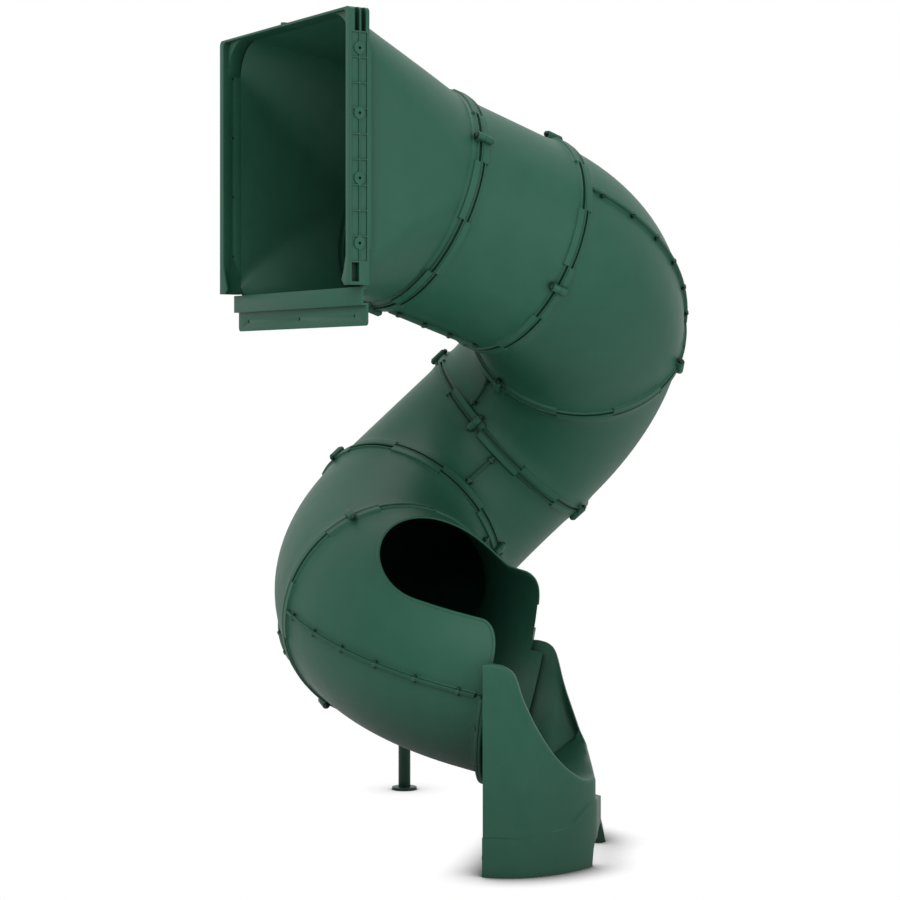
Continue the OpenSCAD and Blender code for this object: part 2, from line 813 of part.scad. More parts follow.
module landing_collar() {
    difference() {
        in_exit_frame() {
            around(180, 180) translate([bore_r, 0]) square([exit_flange_r - bore_r, exit_flange_t]);
            around(180, 180) translate([bore_r, 0]) square([2 * wall, collar_len]);
        }
        translate([land_back + 2, -far / 2, 0]) cube(far);
    }
}

module landing() {
    color(green) difference() {
        at_exit() {
            landing_shell();
            landing_collar();
        }
        multmatrix(exit_frame) landing_bolt_places()
            cylinder(r = joint_bolt_d / 2 + hole_gap, h = 40, center = true);
    }
}

// Support post: stands under the lug of the fifth joint and carries it on a flat bar
post_frame = elbow_frame(4);
post_lug = lug_angles[4][0];
bar_t = 5;
bar_x = -lug_len - bar_t;
post_head = post_frame * [bar_x + bar_t / 2, post_offset * cos(post_lug), post_offset * sin(post_lug), 1];
post_h = post_head[2] - ground_z;
sleeve_gap = 0.25;
sleeve_t = 3;
sleeve_len = 50;
sleeve_cap = 4;

module at_post() {
    translate([post_head[0], post_head[1], ground_z]) children();
}

module support_post() {
    color(green) at_post() translate([0, 0, ground_plate_t]) difference() {
        cylinder(d = post_d, h = post_h - ground_plate_t);
        translate([0, 0, -1]) cylinder(d = post_d - 2 * post_wall, h = post_h);
    }
}

module ground_plate() {
    color(green) at_post() {
        cylinder(d = ground_plate_d, h = ground_plate_t);
        cylinder(d = post_d - 2 * post_wall - 0.5, h = ground_plate_t + 25);
    }
}

module post_bracket() {
    sleeve_r = post_d / 2 + sleeve_gap + sleeve_t;
    color(green) difference() {
        union() {
            multmatrix(post_frame) at_angle(post_lug) translate([bar_x, 0, 0]) rotate([90, 0, 90])
                linear_extrude(height = bar_t) {
                    translate([lug_r, 0]) circle(r = lug_round);
                    translate([lug_r, -lug_round]) square([post_offset - lug_r, 2 * lug_round]);
                }
            at_post() translate([0, 0, post_h - sleeve_len + sleeve_cap]) cylinder(r = sleeve_r, h = sleeve_len);
        }
        at_post() translate([0, 0, post_h - sleeve_len]) cylinder(r = post_d / 2 + sleeve_gap, h = sleeve_len);
        multmatrix(post_frame) lug_holes(lug_angles[4]);
        multmatrix(post_frame) at_angle(post_lug) translate([bar_x - 1, lug_r, 0]) rotate([0, 90, 0])
            cylinder(r = joint_bolt_d / 2 + hole_gap, h = bar_t + 2);
    }
}

// Bolts: a shank along Z with a round head above and a hexagon nut below the parts that it clamps
module clamp_bolt(d, above, below) {
    head_h = 0.6 * d;
    nut_h = 0.75 * d;
    translate([0, 0, -below - nut_h - 1]) cylinder(d = d, h = above + below + nut_h + 1 + head_h / 2);
    translate([0, 0, above]) cylinder(d = 1.8 * d, h = head_h);
    translate([0, 0, -below - nut_h]) cylinder(d = 1.9 * d, h = nut_h, $fn = 6);
}

module joint_bolts(j, place, extra = 0) {
    multmatrix(place) for (i = [0:2]) at_angle(lug_angles[j - 1][i]) translate([0, lug_r, 0]) rotate([0, 90, 0])
        clamp_bolt(joint_bolt_d, lug_len, lug_len + (i == 0 ? extra : 0));
}

module joint_1_bolts() {
    color(metal) joint_bolts(1, straight_frame);
}

module joint_2_bolts() {
    color(metal) joint_bolts(2, elbow_frame(1));
}

module joint_3_bolts() {
    color(metal) joint_bolts(3, elbow_frame(2));
}

module joint_4_bolts() {
    color(metal) joint_bolts(4, elbow_frame(3));
}

module joint_5_bolts() {
    color(metal) joint_bolts(5, elbow_frame(4), bar_t);
}

module joint_6_bolts() {
    color(metal) joint_bolts(6, elbow_frame(5));
}

module landing_bolts() {
    color(metal) multmatrix(exit_frame) landing_bolt_places()
        clamp_bolt(joint_bolt_d, exit_flange_t, exit_flange_t);
}

module seam_bolt() {
    clamp_bolt(seam_bolt_d, lip_t, lip_t);
}

module entrance_seam_bolts() {
    color(metal) funnel_lip_places() seam_bolt();
}

module straight_seam_bolts() {
    color(metal) multmatrix(straight_frame) straight_lip_places() seam_bolt();
}

module elbow_seam_bolts(k) {
    multmatrix(elbow_frame(k)) elbow_lip_places() seam_bolt();
}

module elbow_1_seam_bolts() {
    color(metal) elbow_seam_bolts(1);
}

module elbow_2_seam_bolts() {
    color(metal) elbow_seam_bolts(2);
}

module elbow_3_seam_bolts() {
    color(metal) elbow_seam_bolts(3);
}

module elbow_4_seam_bolts() {
    color(metal) elbow_seam_bolts(4);
}

module exit_seam_bolts() {
    color(metal) elbow_seam_bolts(5);
}

entrance_left();
entrance_right();
deck_plate();
straight_left();
straight_right();
elbow_1_upper();
elbow_1_lower();
elbow_2_upper();
elbow_2_lower();
elbow_3_upper();
elbow_3_lower();
elbow_4_upper();
elbow_4_lower();
exit_upper();
exit_lower();
landing();
support_post();
ground_plate();
post_bracket();
joint_1_bolts();
joint_2_bolts();
joint_3_bolts();
joint_4_bolts();
joint_5_bolts();
joint_6_bolts();
landing_bolts();
entrance_seam_bolts();
straight_seam_bolts();
elbow_1_seam_bolts();
elbow_2_seam_bolts();
elbow_3_seam_bolts();
elbow_4_seam_bolts();
exit_seam_bolts();
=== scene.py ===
"""Looks of the spiral tube slide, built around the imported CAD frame. Metres, +Z up."""

import math

import bmesh
import bpy
import numpy as np
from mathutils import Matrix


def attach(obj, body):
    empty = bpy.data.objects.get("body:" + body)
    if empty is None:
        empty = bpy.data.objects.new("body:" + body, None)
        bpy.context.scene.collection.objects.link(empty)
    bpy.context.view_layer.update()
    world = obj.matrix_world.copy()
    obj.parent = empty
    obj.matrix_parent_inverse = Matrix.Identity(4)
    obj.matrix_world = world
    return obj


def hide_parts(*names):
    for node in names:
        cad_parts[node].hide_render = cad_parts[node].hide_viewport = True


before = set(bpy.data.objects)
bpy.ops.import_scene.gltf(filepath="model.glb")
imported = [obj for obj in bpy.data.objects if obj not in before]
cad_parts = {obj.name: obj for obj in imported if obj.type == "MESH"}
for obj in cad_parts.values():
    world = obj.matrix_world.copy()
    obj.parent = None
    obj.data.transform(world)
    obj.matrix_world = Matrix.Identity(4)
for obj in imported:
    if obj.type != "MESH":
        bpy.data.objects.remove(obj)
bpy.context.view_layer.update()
MM = 0.001

# Sizes of the part, millimetres and degrees
BORE_R, TUBE_R = 305.0, 310.0
LUG_R, LUG_ROUND, LUG_LEN = 325.0, 11.0, 24.0
LIP_T, LIP_HOLE_R, LIP_CLEAR = 4.0, 316.0, 23.0
BEND_R, BEND = 489.0, 55.25
STRAIGHT = 354.0
DECK_Z = 73.0
GROUND_Z = DECK_Z - 1524.0
JOINT_1 = (354.0, 0.0, DECK_Z + 262.0)
SLOPE = 18.6
ROLL = 30.0
LUG_ANGLES = [[62, 188, 302], [128, 237, 10], [236, 350, 116], [88, 288, 20], [242, 350, 118], [240, 120, 10]]
JOINT_BOLT_D, SEAM_BOLT_D = 8.0, 6.0
SWELL = 66.0


# ---------- frames ----------
def shift(x, y, z):
    m = np.eye(4)
    m[:3, 3] = (x, y, z)
    return m


def turn(axis, degrees):
    c, s = math.cos(math.radians(degrees)), math.sin(math.radians(degrees))
    m = np.eye(4)
    i, j = {"x": (1, 2), "y": (2, 0), "z": (0, 1)}[axis]
    m[i, i], m[i, j], m[j, i], m[j, j] = c, -s, s, c
    return m


def put(matrix, points):
    points = np.asarray(points, float)
    return points @ matrix[:3, :3].T + matrix[:3, 3]


ENTRY = shift(*JOINT_1) @ turn("y", SLOPE)
STRAIGHT_FRAME = ENTRY @ turn("x", 90)
STEP = shift(BEND_R * math.sin(math.radians(BEND)), BEND_R * (1 - math.cos(math.radians(BEND))), 0) @ turn("z", BEND)
ELBOW = {1: ENTRY @ shift(STRAIGHT, 0, 0) @ turn("x", -ROLL)}
for number in range(2, 6):
    ELBOW[number] = ELBOW[number - 1] @ STEP @ turn("x", -ROLL)
EXIT = ELBOW[5] @ STEP
HEADING = math.degrees(math.atan2(EXIT[1, 0], EXIT[0, 0]))
EXIT_SLOPE = math.degrees(math.asin(-EXIT[2, 0]))
EXIT_RISE = EXIT[2, 3] - GROUND_Z
LANDING_FRAME = shift(EXIT[0, 3], EXIT[1, 3], GROUND_Z) @ turn("z", HEADING)
LEVEL_EXIT = shift(*EXIT[:3, 3]) @ turn("z", HEADING) @ turn("y", EXIT_SLOPE)


# ---------- camera ----------
CAMERA_HEADING = 31.98
camera_data = bpy.data.cameras.new("camera")
camera_data.sensor_width = 36.0
camera_data.lens = 94.0
camera_data.shift_y = -0.0667
camera_data.clip_end = 100.0
camera = bpy.data.objects.new("camera", camera_data)
camera.location = (-2.9852, -5.5401, -0.1898)
camera.rotation_euler = (math.radians(90), 0, math.radians(-CAMERA_HEADING))
bpy.context.scene.collection.objects.link(camera)
bpy.context.scene.camera = camera


# ---------- materials ----------
def node_maker(tree):
    def make(kind, **values):
        node = tree.nodes.new(kind)
        for key, value in values.items():
            if hasattr(node, key) and key not in node.inputs:
                setattr(node, key, value)
            else:
                node.inputs[key.replace("_", " ")].default_value = value
        return node

    return make


# Painted shade: share of the lit colour that is left in the deepest hollows, and in the narrowest crevices
HOLLOW_SHADE_SHARE, CREVICE_SHADE_SHARE = 0.2, 0.3
# Metres over which the painted shade darkens a hollow and a crevice
HOLLOW_SHADE_REACH, CREVICE_SHADE_REACH = 0.8, 0.04
SCUFF_SHARE, SPECKLE_SIZE = 0.22, 0.16


def with_painted_shade(make, link, colour, shade_of, samples, reach, span, left):
    """Painted shade: the colour, mixed towards a dark shade where the ambient occlusion within reach is strong."""
    open_sky = make("ShaderNodeAmbientOcclusion", samples=samples)
    open_sky.inputs["Distance"].default_value = reach
    share = make("ShaderNodeMapRange")
    share.inputs["From Min"].default_value, share.inputs["From Max"].default_value = span
    share.inputs["To Min"].default_value = left
    link(open_sky.outputs["AO"], share.inputs["Value"])
    mixed = make("ShaderNodeMix", data_type="RGBA", blend_type="MIX")
    mixed.inputs[6].default_value = (*shade_of, 1)
    link(share.outputs["Result"], mixed.inputs[0])
    link(colour, mixed.inputs[7])
    return mixed.outputs[2]


def coated(name, low, high, roughness, bump, specular, speckle=0.0):
    """A moulded or coated green surface: mottled colour, satin roughness that varies, fine bump, light scuffs and
    painted shade in hollows and crevices.
    """
    material = bpy.data.materials.new(name)
    material.use_nodes = True
    tree = material.node_tree
    make, link = node_maker(tree), tree.links.new
    shader = tree.nodes["Principled BSDF"]
    shader.inputs["Specular IOR Level"].default_value = specular
    place = make("ShaderNodeTexCoord")
    broad = make("ShaderNodeTexNoise", Scale=2.3, Detail=5.0, Roughness=0.6)
    cloudy = make("ShaderNodeTexNoise", Scale=19.0, Detail=6.0, Roughness=0.65)
    grain = make("ShaderNodeTexNoise", Scale=620.0, Detail=3.0, Roughness=0.6)
    ripple = make("ShaderNodeTexNoise", Scale=13.0, Detail=2.0, Roughness=0.4)
    stretch = make("ShaderNodeMapping", Scale=(240.0, 30.0, 24.0), Rotation=(0.5, 0.3, 0.9))
    scratch = make("ShaderNodeTexNoise", Scale=1.0, Detail=3.0, Roughness=0.7)
    for texture in (broad, cloudy, grain, ripple, stretch):
        link(place.outputs["Object"], texture.inputs["Vector"])
    link(stretch.outputs["Vector"], scratch.inputs["Vector"])
    blend = make("ShaderNodeMix", data_type="FLOAT")
    blend.inputs[0].default_value = 0.4
    link(broad.outputs["Fac"], blend.inputs[2])
    link(cloudy.outputs["Fac"], blend.inputs[3])
    tint = make("ShaderNodeValToRGB")
    tint.color_ramp.elements[0].position, tint.color_ramp.elements[1].position = 0.3, 0.7
    tint.color_ramp.elements[0].color, tint.color_ramp.elements[1].color = (*low, 1), (*high, 1)
    link(blend.outputs[0], tint.inputs["Fac"])
    scuffs = make("ShaderNodeValToRGB")
    scuffs.color_ramp.elements[0].position, scuffs.color_ramp.elements[1].position = 0.66, 0.8
    link(scratch.outputs["Fac"], scuffs.inputs["Fac"])
    worn = make("ShaderNodeMix", data_type="RGBA", blend_type="MIX")
    worn.inputs[7].default_value = tuple(min(1.0, 1.35 * c + 0.012) for c in high) + (1,)
    share = make("ShaderNodeMath", operation="MULTIPLY")
    share.inputs[1].default_value = SCUFF_SHARE
    link(scuffs.outputs["Color"], share.inputs[0])
    link(share.outputs[0], worn.inputs[0])
    link(tint.outputs["Color"], worn.inputs[6])
    colour = worn.outputs[2]
    if speckle:
        dots = make("ShaderNodeTexVoronoi", Scale=260.0)
        link(place.outputs["Object"], dots.inputs["Vector"])
        spot = make("ShaderNodeMath", operation="LESS_THAN")
        spot.inputs[1].default_value = SPECKLE_SIZE
        link(dots.outputs["Distance"], spot.inputs[0])
        spotted = make("ShaderNodeMix", data_type="RGBA", blend_type="MIX")
        spot_share = make("ShaderNodeMath", operation="MULTIPLY")
        spot_share.inputs[1].default_value = speckle
        link(spot.outputs[0], spot_share.inputs[0])
        link(spot_share.outputs[0], spotted.inputs[0])
        link(colour, spotted.inputs[6])
        spotted.inputs[7].default_value = tuple(0.55 * c for c in low) + (1,)
        colour = spotted.outputs[2]
    # Painted shade: the colour darkens in hollows and crevices, following ambient occlusion
    colour = with_painted_shade(make, link, colour, tuple(0.12 * c for c in low), 6, HOLLOW_SHADE_REACH, (0.1, 0.85), HOLLOW_SHADE_SHARE)
    colour = with_painted_shade(make, link, colour, tuple(0.15 * c for c in low), 4, CREVICE_SHADE_REACH, (0.2, 0.8), CREVICE_SHADE_SHARE)
    link(colour, shader.inputs["Base Color"])
    gloss = make("ShaderNodeMapRange")
    gloss.inputs["To Min"].default_value = roughness - 0.07
    gloss.inputs["To Max"].default_value = roughness + 0.09
    link(cloudy.outputs["Fac"], gloss.inputs["Value"])
    duller = make("ShaderNodeMath", operation="MULTIPLY_ADD")
    duller.inputs[1].default_value = 0.12
    link(scuffs.outputs["Color"], duller.inputs[0])
    link(gloss.outputs["Result"], duller.inputs[2])
    link(duller.outputs[0], shader.inputs["Roughness"])
    soft = make("ShaderNodeBump", Strength=0.35, Distance=0.0016)
    fine = make("ShaderNodeBump", Strength=bump, Distance=0.00022)
    link(ripple.outputs["Fac"], soft.inputs["Height"])
    link(grain.outputs["Fac"], fine.inputs["Height"])
    link(soft.outputs["Normal"], fine.inputs["Normal"])
    link(fine.outputs["Normal"], shader.inputs["Normal"])
    return material


MATERIALS = {
    "green_plastic": coated("moulded_green", (0.0120, 0.0720, 0.0440), (0.0190, 0.0900, 0.0570), 0.46, 0.2, 0.2),
    "green_steel": coated("coated_green_steel", (0.0080, 0.0500, 0.0310), (0.0120, 0.0620, 0.0390), 0.4, 0.12, 0.25),
    "dark_fasteners": coated("fastener_green", (0.0045, 0.0300, 0.0180), (0.0080, 0.0420, 0.0260), 0.36, 0.3, 0.3,
                             speckle=0.5),
}


# ---------- mesh building ----------
class Shape:
    """Collects closed bodies into one mesh. Points are in millimetres, in the row frame."""

    def __init__(self):
        self.points, self.faces, self.count = [], [], 0

    def add(self, points, faces):
        points = np.asarray(points, float).reshape(-1, 3)
        self.points.append(points)
        n = self.count
        self.faces.extend([tuple(i + n for i in face) for face in faces])
        self.count += len(points)

    def slab(self, outer, inner):
        """A closed body between two grids of points of the same shape."""
        rows, cols = outer.shape[:2]
        k = rows * cols
        faces = []
        for i in range(rows - 1):
            for j in range(cols - 1):
                a = i * cols + j
                faces.append((a, a + 1, a + cols + 1, a + cols))
                faces.append((k + a, k + a + cols, k + a + cols + 1, k + a + 1))
            for a in (i * cols, i * cols + cols - 1):
                faces.append((a, a + cols, k + a + cols, k + a))
        for j in range(cols - 1):
            for a in (j, (rows - 1) * cols + j):
                faces.append((a, k + a, k + a + 1, a + 1))
        self.add(np.concatenate([outer.reshape(-1, 3), inner.reshape(-1, 3)]), faces)

    def loft(self, rings):
        """A closed body through rings of the same number of points, capped at both ends."""
        n = len(rings[0])
        faces = []
        for r in range(len(rings) - 1):
            for j in range(n):
                a, b = r * n + j, r * n + (j + 1) % n
                faces.append((a, b, b + n, a + n))
        faces.append(tuple(range(n)))
        faces.append(tuple(range((len(rings) - 1) * n, len(rings) * n)))
        self.add(np.concatenate(rings), faces)

    def lathe(self, matrix, profile, sides=24):
        """A closed body from (radius, height) pairs turned about Z; the first and last lie on the axis."""
        t = np.linspace(0, 2 * math.pi, sides, endpoint=False)
        inner = profile[1:-1]
        points = [np.stack([r * np.cos(t), r * np.sin(t), np.full(sides, z)], 1) for r, z in inner]
        n, m = sides, len(inner)
        faces = []
        for r in range(m - 1):
            for j in range(n):
                a, b = r * n + j, r * n + (j + 1) % n
                faces.append((a, b, b + n, a + n))
        ends = np.array([[0, 0, profile[0][1]], [0, 0, profile[-1][1]]])
        for j in range(n):
            faces.append((m * n, (j + 1) % n, j))
            faces.append((m * n + 1, (m - 1) * n + j, (m - 1) * n + (j + 1) % n))
        self.add(put(matrix, np.concatenate(points + [ends])), faces)

    def mesh(self, name):
        mesh = bpy.data.meshes.new(name)
        mesh.from_pydata((np.concatenate(self.points) * MM).tolist(), [], self.faces)
        bm = bmesh.new()
        bm.from_mesh(mesh)
        bmesh.ops.recalc_face_normals(bm, faces=bm.faces)
        bm.to_mesh(mesh)
        bm.free()
        return mesh


def shade(mesh, angle):
    """Smooth shading with edges sharper than the angle kept crisp."""
    bm = bmesh.new()
    bm.from_mesh(mesh)
    for face in bm.faces:
        face.smooth = True
    limit = math.radians(angle)
    for edge in bm.edges:
        edge.smooth = not (len(edge.link_faces) == 2 and edge.calc_face_angle(0.0) > limit)
    bm.to_mesh(mesh)
    bm.free()


def piece(name, mesh, slot, replaces=(), angle=38):
    """An object of the scene: shaded, with its material, riding the root, in place of the CAD nodes it replaces."""
    shade(mesh, angle)
    mesh.materials.clear()
    mesh.materials.append(MATERIALS[slot])
    obj = bpy.data.objects.new(name, mesh)
    bpy.context.scene.collection.objects.link(obj)
    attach(obj, "root")
    if replaces:
        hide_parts(*replaces)
    return obj


def softened(node, width, keep=None):
    """A copy of a CAD node's mesh with its sharp edges rounded. keep(centre) picks the faces to copy."""
    bm = bmesh.new()
    bm.from_mesh(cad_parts[node].data)
    bmesh.ops.remove_doubles(bm, verts=bm.verts, dist=2e-6)
    if keep:
        away = [f for f in bm.faces if not all(keep(v.co) for v in f.verts)]
        bmesh.ops.delete(bm, geom=away, context="FACES")
    bmesh.ops.dissolve_limit(bm, angle_limit=math.radians(0.5), verts=bm.verts, edges=bm.edges)
    sharp = [e for e in bm.edges if len(e.link_faces) == 2 and e.calc_face_angle(0.0) > math.radians(35)]
    if width:
        bmesh.ops.bevel(bm, geom=sharp, offset=width * MM, segments=2, profile=0.5, affect="EDGES",
                        clamp_overlap=True)
    mesh = bpy.data.meshes.new(node + "_soft")
    bm.to_mesh(mesh)
    bm.free()
    return mesh


def joined(meshes, name):
    """One mesh of several."""
    bm = bmesh.new()
    for mesh in meshes:
        bm.from_mesh(mesh)
    out = bpy.data.meshes.new(name)
    bm.to_mesh(out)
    bm.free()
    return out


# ---------- relief of the tubes ----------
BLOCK = np.array([[0, 11.0], [0.7, 12], [1.5, 12], [2.2, 11.0], [3.0, 11.4], [20.2, 11.4], [21.4, 10.7], [22.2, 8.6],
                  [23.2, 5.6], [24.6, 4.4]])
CHANNEL = np.array([[0, 11.0], [0.7, 12], [2.8, 12], [3.6, 11.2], [4.3, 5.0], [5.0, 3.0], [10.0, 3.0], [10.8, 4.0],
                    [11.4, 9.2], [12.0, 10], [14.0, 10], [14.9, 9.2], [15.7, 6.0], [16.8, 5.0]])
FOOT = np.array([[0, 5.0], [16.8, 5.0], [24.6, 4.1], [30, 3.2], [38, 1.9], [50, 0.6], [SWELL, 0]])
FLANGE = np.array([[0, 27], [1.0, 28], [6.8, 28], [7.8, 27], [8.6, 9], [11, 5], [16, 2.5], [26, 0.8], [SWELL, 0]])
LIP = np.array([[0, 11.2], [0.6, 12], [2.8, 12], [3.5, 11.3], [4.2, 7.5], [4.9, 2.2], [6.2, 1.0], [9, 0.3], [14, 0]])
NEAR_ROWS = np.array([0, 0.7, 1.5, 2.2, 3.0, 3.6, 4.3, 5.0, 7.5, 10.0, 10.8, 11.4, 12.0, 13.0, 14.0, 14.9, 15.7, 16.8,
                      18.5, 20.2, 21.4, 22.2, 23.2, 24.6, 27, 30, 34, 38, 44, 50, 58, SWELL])


def curve(table, x):
    return np.interp(x, table[:, 0], table[:, 1], right=0.0)


def ease(x, low, high):
    t = np.clip((x - low) / (high - low), 0, 1)
    return t * t * (3 - 2 * t)


def half_angles():
    """Angles of one half, close together at the seams and at the ends of the band's stretches."""
    seam = np.degrees(LIP[:, 0] / TUBE_R)
    marks = np.arange(15, 180, 30)
    plain = [a for a in np.arange(3.75, 177, 2.5) if np.abs(marks - a).min() > 0.9]
    ends = [m + d for m in marks for d in (-0.55, -0.3, -0.1, 0.1, 0.3, 0.55)]
    return np.array(sorted(list(seam) + list(180 - seam) + plain + ends))


HALF = half_angles()


def band_relief(x, theta, parity):
    """Height of a joint band above the tube, at x from the joint. Every second stretch of 30 degrees is a block."""
    position = theta / 30.0
    offset = np.abs(position - np.round(position))
    even = (np.round(position).astype(int) % 2) == parity
    near = ease((0.5 - offset) * 30, -0.3, 0.3)
    share = np.where(even, near, 1 - near)
    relief = share * curve(BLOCK, x) + (1 - share) * curve(CHANNEL, x)
    return np.maximum(relief, curve(FOOT, x))


def seam_relief(theta, start, end):
    """Height of the lip along a seam, which stops short of the joints at both ends."""
    distance = np.radians(np.minimum(theta % 180, 180 - theta % 180)) * TUBE_R
    near = ease(np.minimum(start, end), LIP_CLEAR - 0.5, LIP_CLEAR + 2.5)
    return curve(LIP, distance) * near


def half_grid(side, length, bend, start, end):
    """Outer and inner grids of half a tube in its own frame. start and end are relief functions of (x, angle)."""
    theta = HALF + (0 if side > 0 else 180)
    cos, sin = np.cos(np.radians(theta)), np.sin(np.radians(theta))
    if bend:
        reach = BEND_R - TUBE_R * cos
        first = np.arcsin(NEAR_ROWS[:, None] / reach[None, :])
        last = math.radians(BEND) - first[::-1]
        count = 18
    else:
        first = np.repeat(NEAR_ROWS[:, None], len(theta), 1)
        last = length - first[::-1]
        count = 9
    t = np.linspace(0, 1, count + 2)[1:-1, None]
    rows = np.concatenate([first, first[-1] + (last[0] - first[-1]) * t, last])
    far = np.full(count, SWELL + 1)
    from_start = np.concatenate([NEAR_ROWS, far, np.full(len(NEAR_ROWS), SWELL + 1)])[:, None]
    from_end = from_start[::-1]
    angle = np.repeat(theta[None, :], len(rows), 0)
    height = np.maximum(start(from_start, angle), end(from_end, angle))
    height = np.maximum(height, seam_relief(angle, from_start, from_end))
    grids = []
    for r in (TUBE_R + height, np.full_like(height, BORE_R)):
        y, z = r * cos, r * sin
        if bend:
            grids.append(np.stack([np.sin(rows) * (BEND_R - y), BEND_R - np.cos(rows) * (BEND_R - y), z], 2))
        else:
            grids.append(np.stack([rows, y, z], 2))
    return grids


def lug(shape, matrix, angle, direction):
    """A rounded lug with a softly beveled end, on the band at an angle."""
    steps = np.radians(np.linspace(-8, 188, 19))
    top = [(LUG_ROUND * math.cos(t), LUG_R + LUG_ROUND * math.sin(t)) for t in steps]
    foot = [(-LUG_ROUND - 0.6, 318), (-LUG_ROUND - 2.4, 312.5), (-LUG_ROUND - 3.5, 307.5)]
    profile = np.array([(-x, y) for x, y in reversed(foot)] + top + foot)
    middle = np.array([0, 320.0])
    place = matrix @ turn("x", angle - 90)
    rings = []
    for x, inset in ((0.0, 0.9), (0.9, 0.0), (LUG_LEN - 2.2, 0.0), (LUG_LEN - 0.7, 0.7), (LUG_LEN, 2.2)):
        shrunk = middle + (profile - middle) * (1 - inset / 14.0)
        rings.append(put(place, [(direction * x, -p[0], p[1]) for p in shrunk]))
    shape.loft(rings)


def lugs(shape, matrix, angles, side, direction):
    for angle in angles:
        up = math.sin(math.radians(angle)) > 0
        if up == (side > 0):
            lug(shape, matrix, angle, direction)


def boss(shape, matrix, z):
    """A small round pad under a seam bolt, on a lip."""
    shape.lathe(matrix, [(0, 0.0), (9.0, 0.0), (9.0, z * 0.75), (8.2, z), (0, z)], 20)


def plain(x, theta):
    return np.zeros(np.broadcast(x, theta).shape)


def band(parity):
    return lambda x, theta: band_relief(x, theta, parity)


def flange(x, theta):
    return curve(FLANGE, x) + 0 * theta


def end_angles(joint, roll):
    return [a - roll for a in LUG_ANGLES[joint - 1]]


def grid(step, count, middle):
    return [middle + (i - (count - 1) / 2) * step for i in range(count)]


def at_bend(angle, offset):
    return shift(0, BEND_R, 0) @ turn("z", angle) @ shift(0, -BEND_R - offset, 0)


ELBOW_BOLTS = [at_bend(a, LIP_HOLE_R) for a in grid(9.1, 6, BEND / 2 - 0.3)]
ELBOW_BOLTS += [at_bend(a, -LIP_HOLE_R) for a in grid(30, 2, BEND / 2)]
STRAIGHT_BOLTS = [shift(x, up * LIP_HOLE_R, 0) for x in grid(86.5, 4, STRAIGHT / 2 + 10) for up in (-1, 1)]


def seam_pads(shape, matrix, places, side):
    for spot in places:
        boss(shape, matrix @ spot @ turn("x", 0 if side > 0 else 180) @ shift(0, 0, 0.2), LIP_T + 1.2)


# ---------- straight tube and elbows ----------
for side, name in ((1, "straight_right"), (-1, "straight_left")):
    shape = Shape()
    outer, inner = half_grid(side, STRAIGHT, False, band(0), band(1))
    shape.slab(put(STRAIGHT_FRAME, outer), put(STRAIGHT_FRAME, inner))
    lugs(shape, STRAIGHT_FRAME, LUG_ANGLES[0], side, 1)
    lugs(shape, STRAIGHT_FRAME @ shift(STRAIGHT, 0, 0), end_angles(2, 90 + ROLL), side, -1)
    seam_pads(shape, STRAIGHT_FRAME, STRAIGHT_BOLTS, side)
    piece(name + "_shell", shape.mesh(name + "_shell"), "green_plastic", [name])

for k in range(1, 5):
    for side, name in ((1, f"elbow_{k}_upper"), (-1, f"elbow_{k}_lower")):
        shape = Shape()
        outer, inner = half_grid(side, 0, True, band(0), band(0))
        shape.slab(put(ELBOW[k], outer), put(ELBOW[k], inner))
        lugs(shape, ELBOW[k], LUG_ANGLES[k], side, 1)
        lugs(shape, ELBOW[k] @ STEP, end_angles(k + 2, ROLL), side, -1)
        seam_pads(shape, ELBOW[k], ELBOW_BOLTS, side)
        piece(name + "_shell", shape.mesh(name + "_shell"), "green_plastic", [name])


# ---------- exit tube ----------
HOOD_W, HOOD_START, HOOD_ROUND = 248.0, 10.5, 25.0
HOOD_STRAIGHT = 37.0
NEAR_TURN, FAR_TURN = 4.2, 11.0
HOOD_MARGIN = 8.0
RIM_WIDTH, RIM_THICK, RIM_DEPTH, BEAD_SIDES = 9.0, 7.0, 1.5, 14
# How far the cutting prism goes past the tube's end, degrees and millimetres
PAST_END, PAST_SIDE = 3.0, 49.0


def bend_point(a, out):
    a = math.radians(a)
    return ((BEND_R + out) * math.sin(a), BEND_R - (BEND_R + out) * math.cos(a))


def hood_side(s):
    """Half of the hood's opening in plan: round at the back, straight, and turned out at the tube's end."""
    wide = BORE_R - HOOD_W - HOOD_MARGIN
    points = [bend_point(HOOD_START + HOOD_ROUND * (1 - math.cos(t)), s * HOOD_W * math.sin(t))
              for t in np.radians(np.arange(0, 91, 3))]
    turn_in = NEAR_TURN if s > 0 else FAR_TURN
    points += [bend_point(a, s * HOOD_W) for a in np.arange(HOOD_STRAIGHT, BEND - turn_in, 1.5)]
    points += [bend_point(BEND - turn_in + turn_in * math.sin(t), s * (HOOD_W + wide * (1 - math.cos(t))))
               for t in np.radians(np.arange(5, 91, 5))]
    return points


def evaluated(obj):
    graph = bpy.context.evaluated_depsgraph_get()
    return bpy.data.meshes.new_from_object(obj.evaluated_get(graph))


def cut(mesh, cutter):
    """The mesh less the cutter."""
    made = []
    for source in (mesh, cutter):
        obj = bpy.data.objects.new("cut", source)
        bpy.context.scene.collection.objects.link(obj)
        made.append(obj)
    modifier = made[0].modifiers.new("cut", "BOOLEAN")
    modifier.operation, modifier.solver, modifier.object = "DIFFERENCE", "EXACT", made[1]
    bpy.context.view_layer.update()
    out = evaluated(made[0])
    for obj in made:
        bpy.data.objects.remove(obj)
    return out


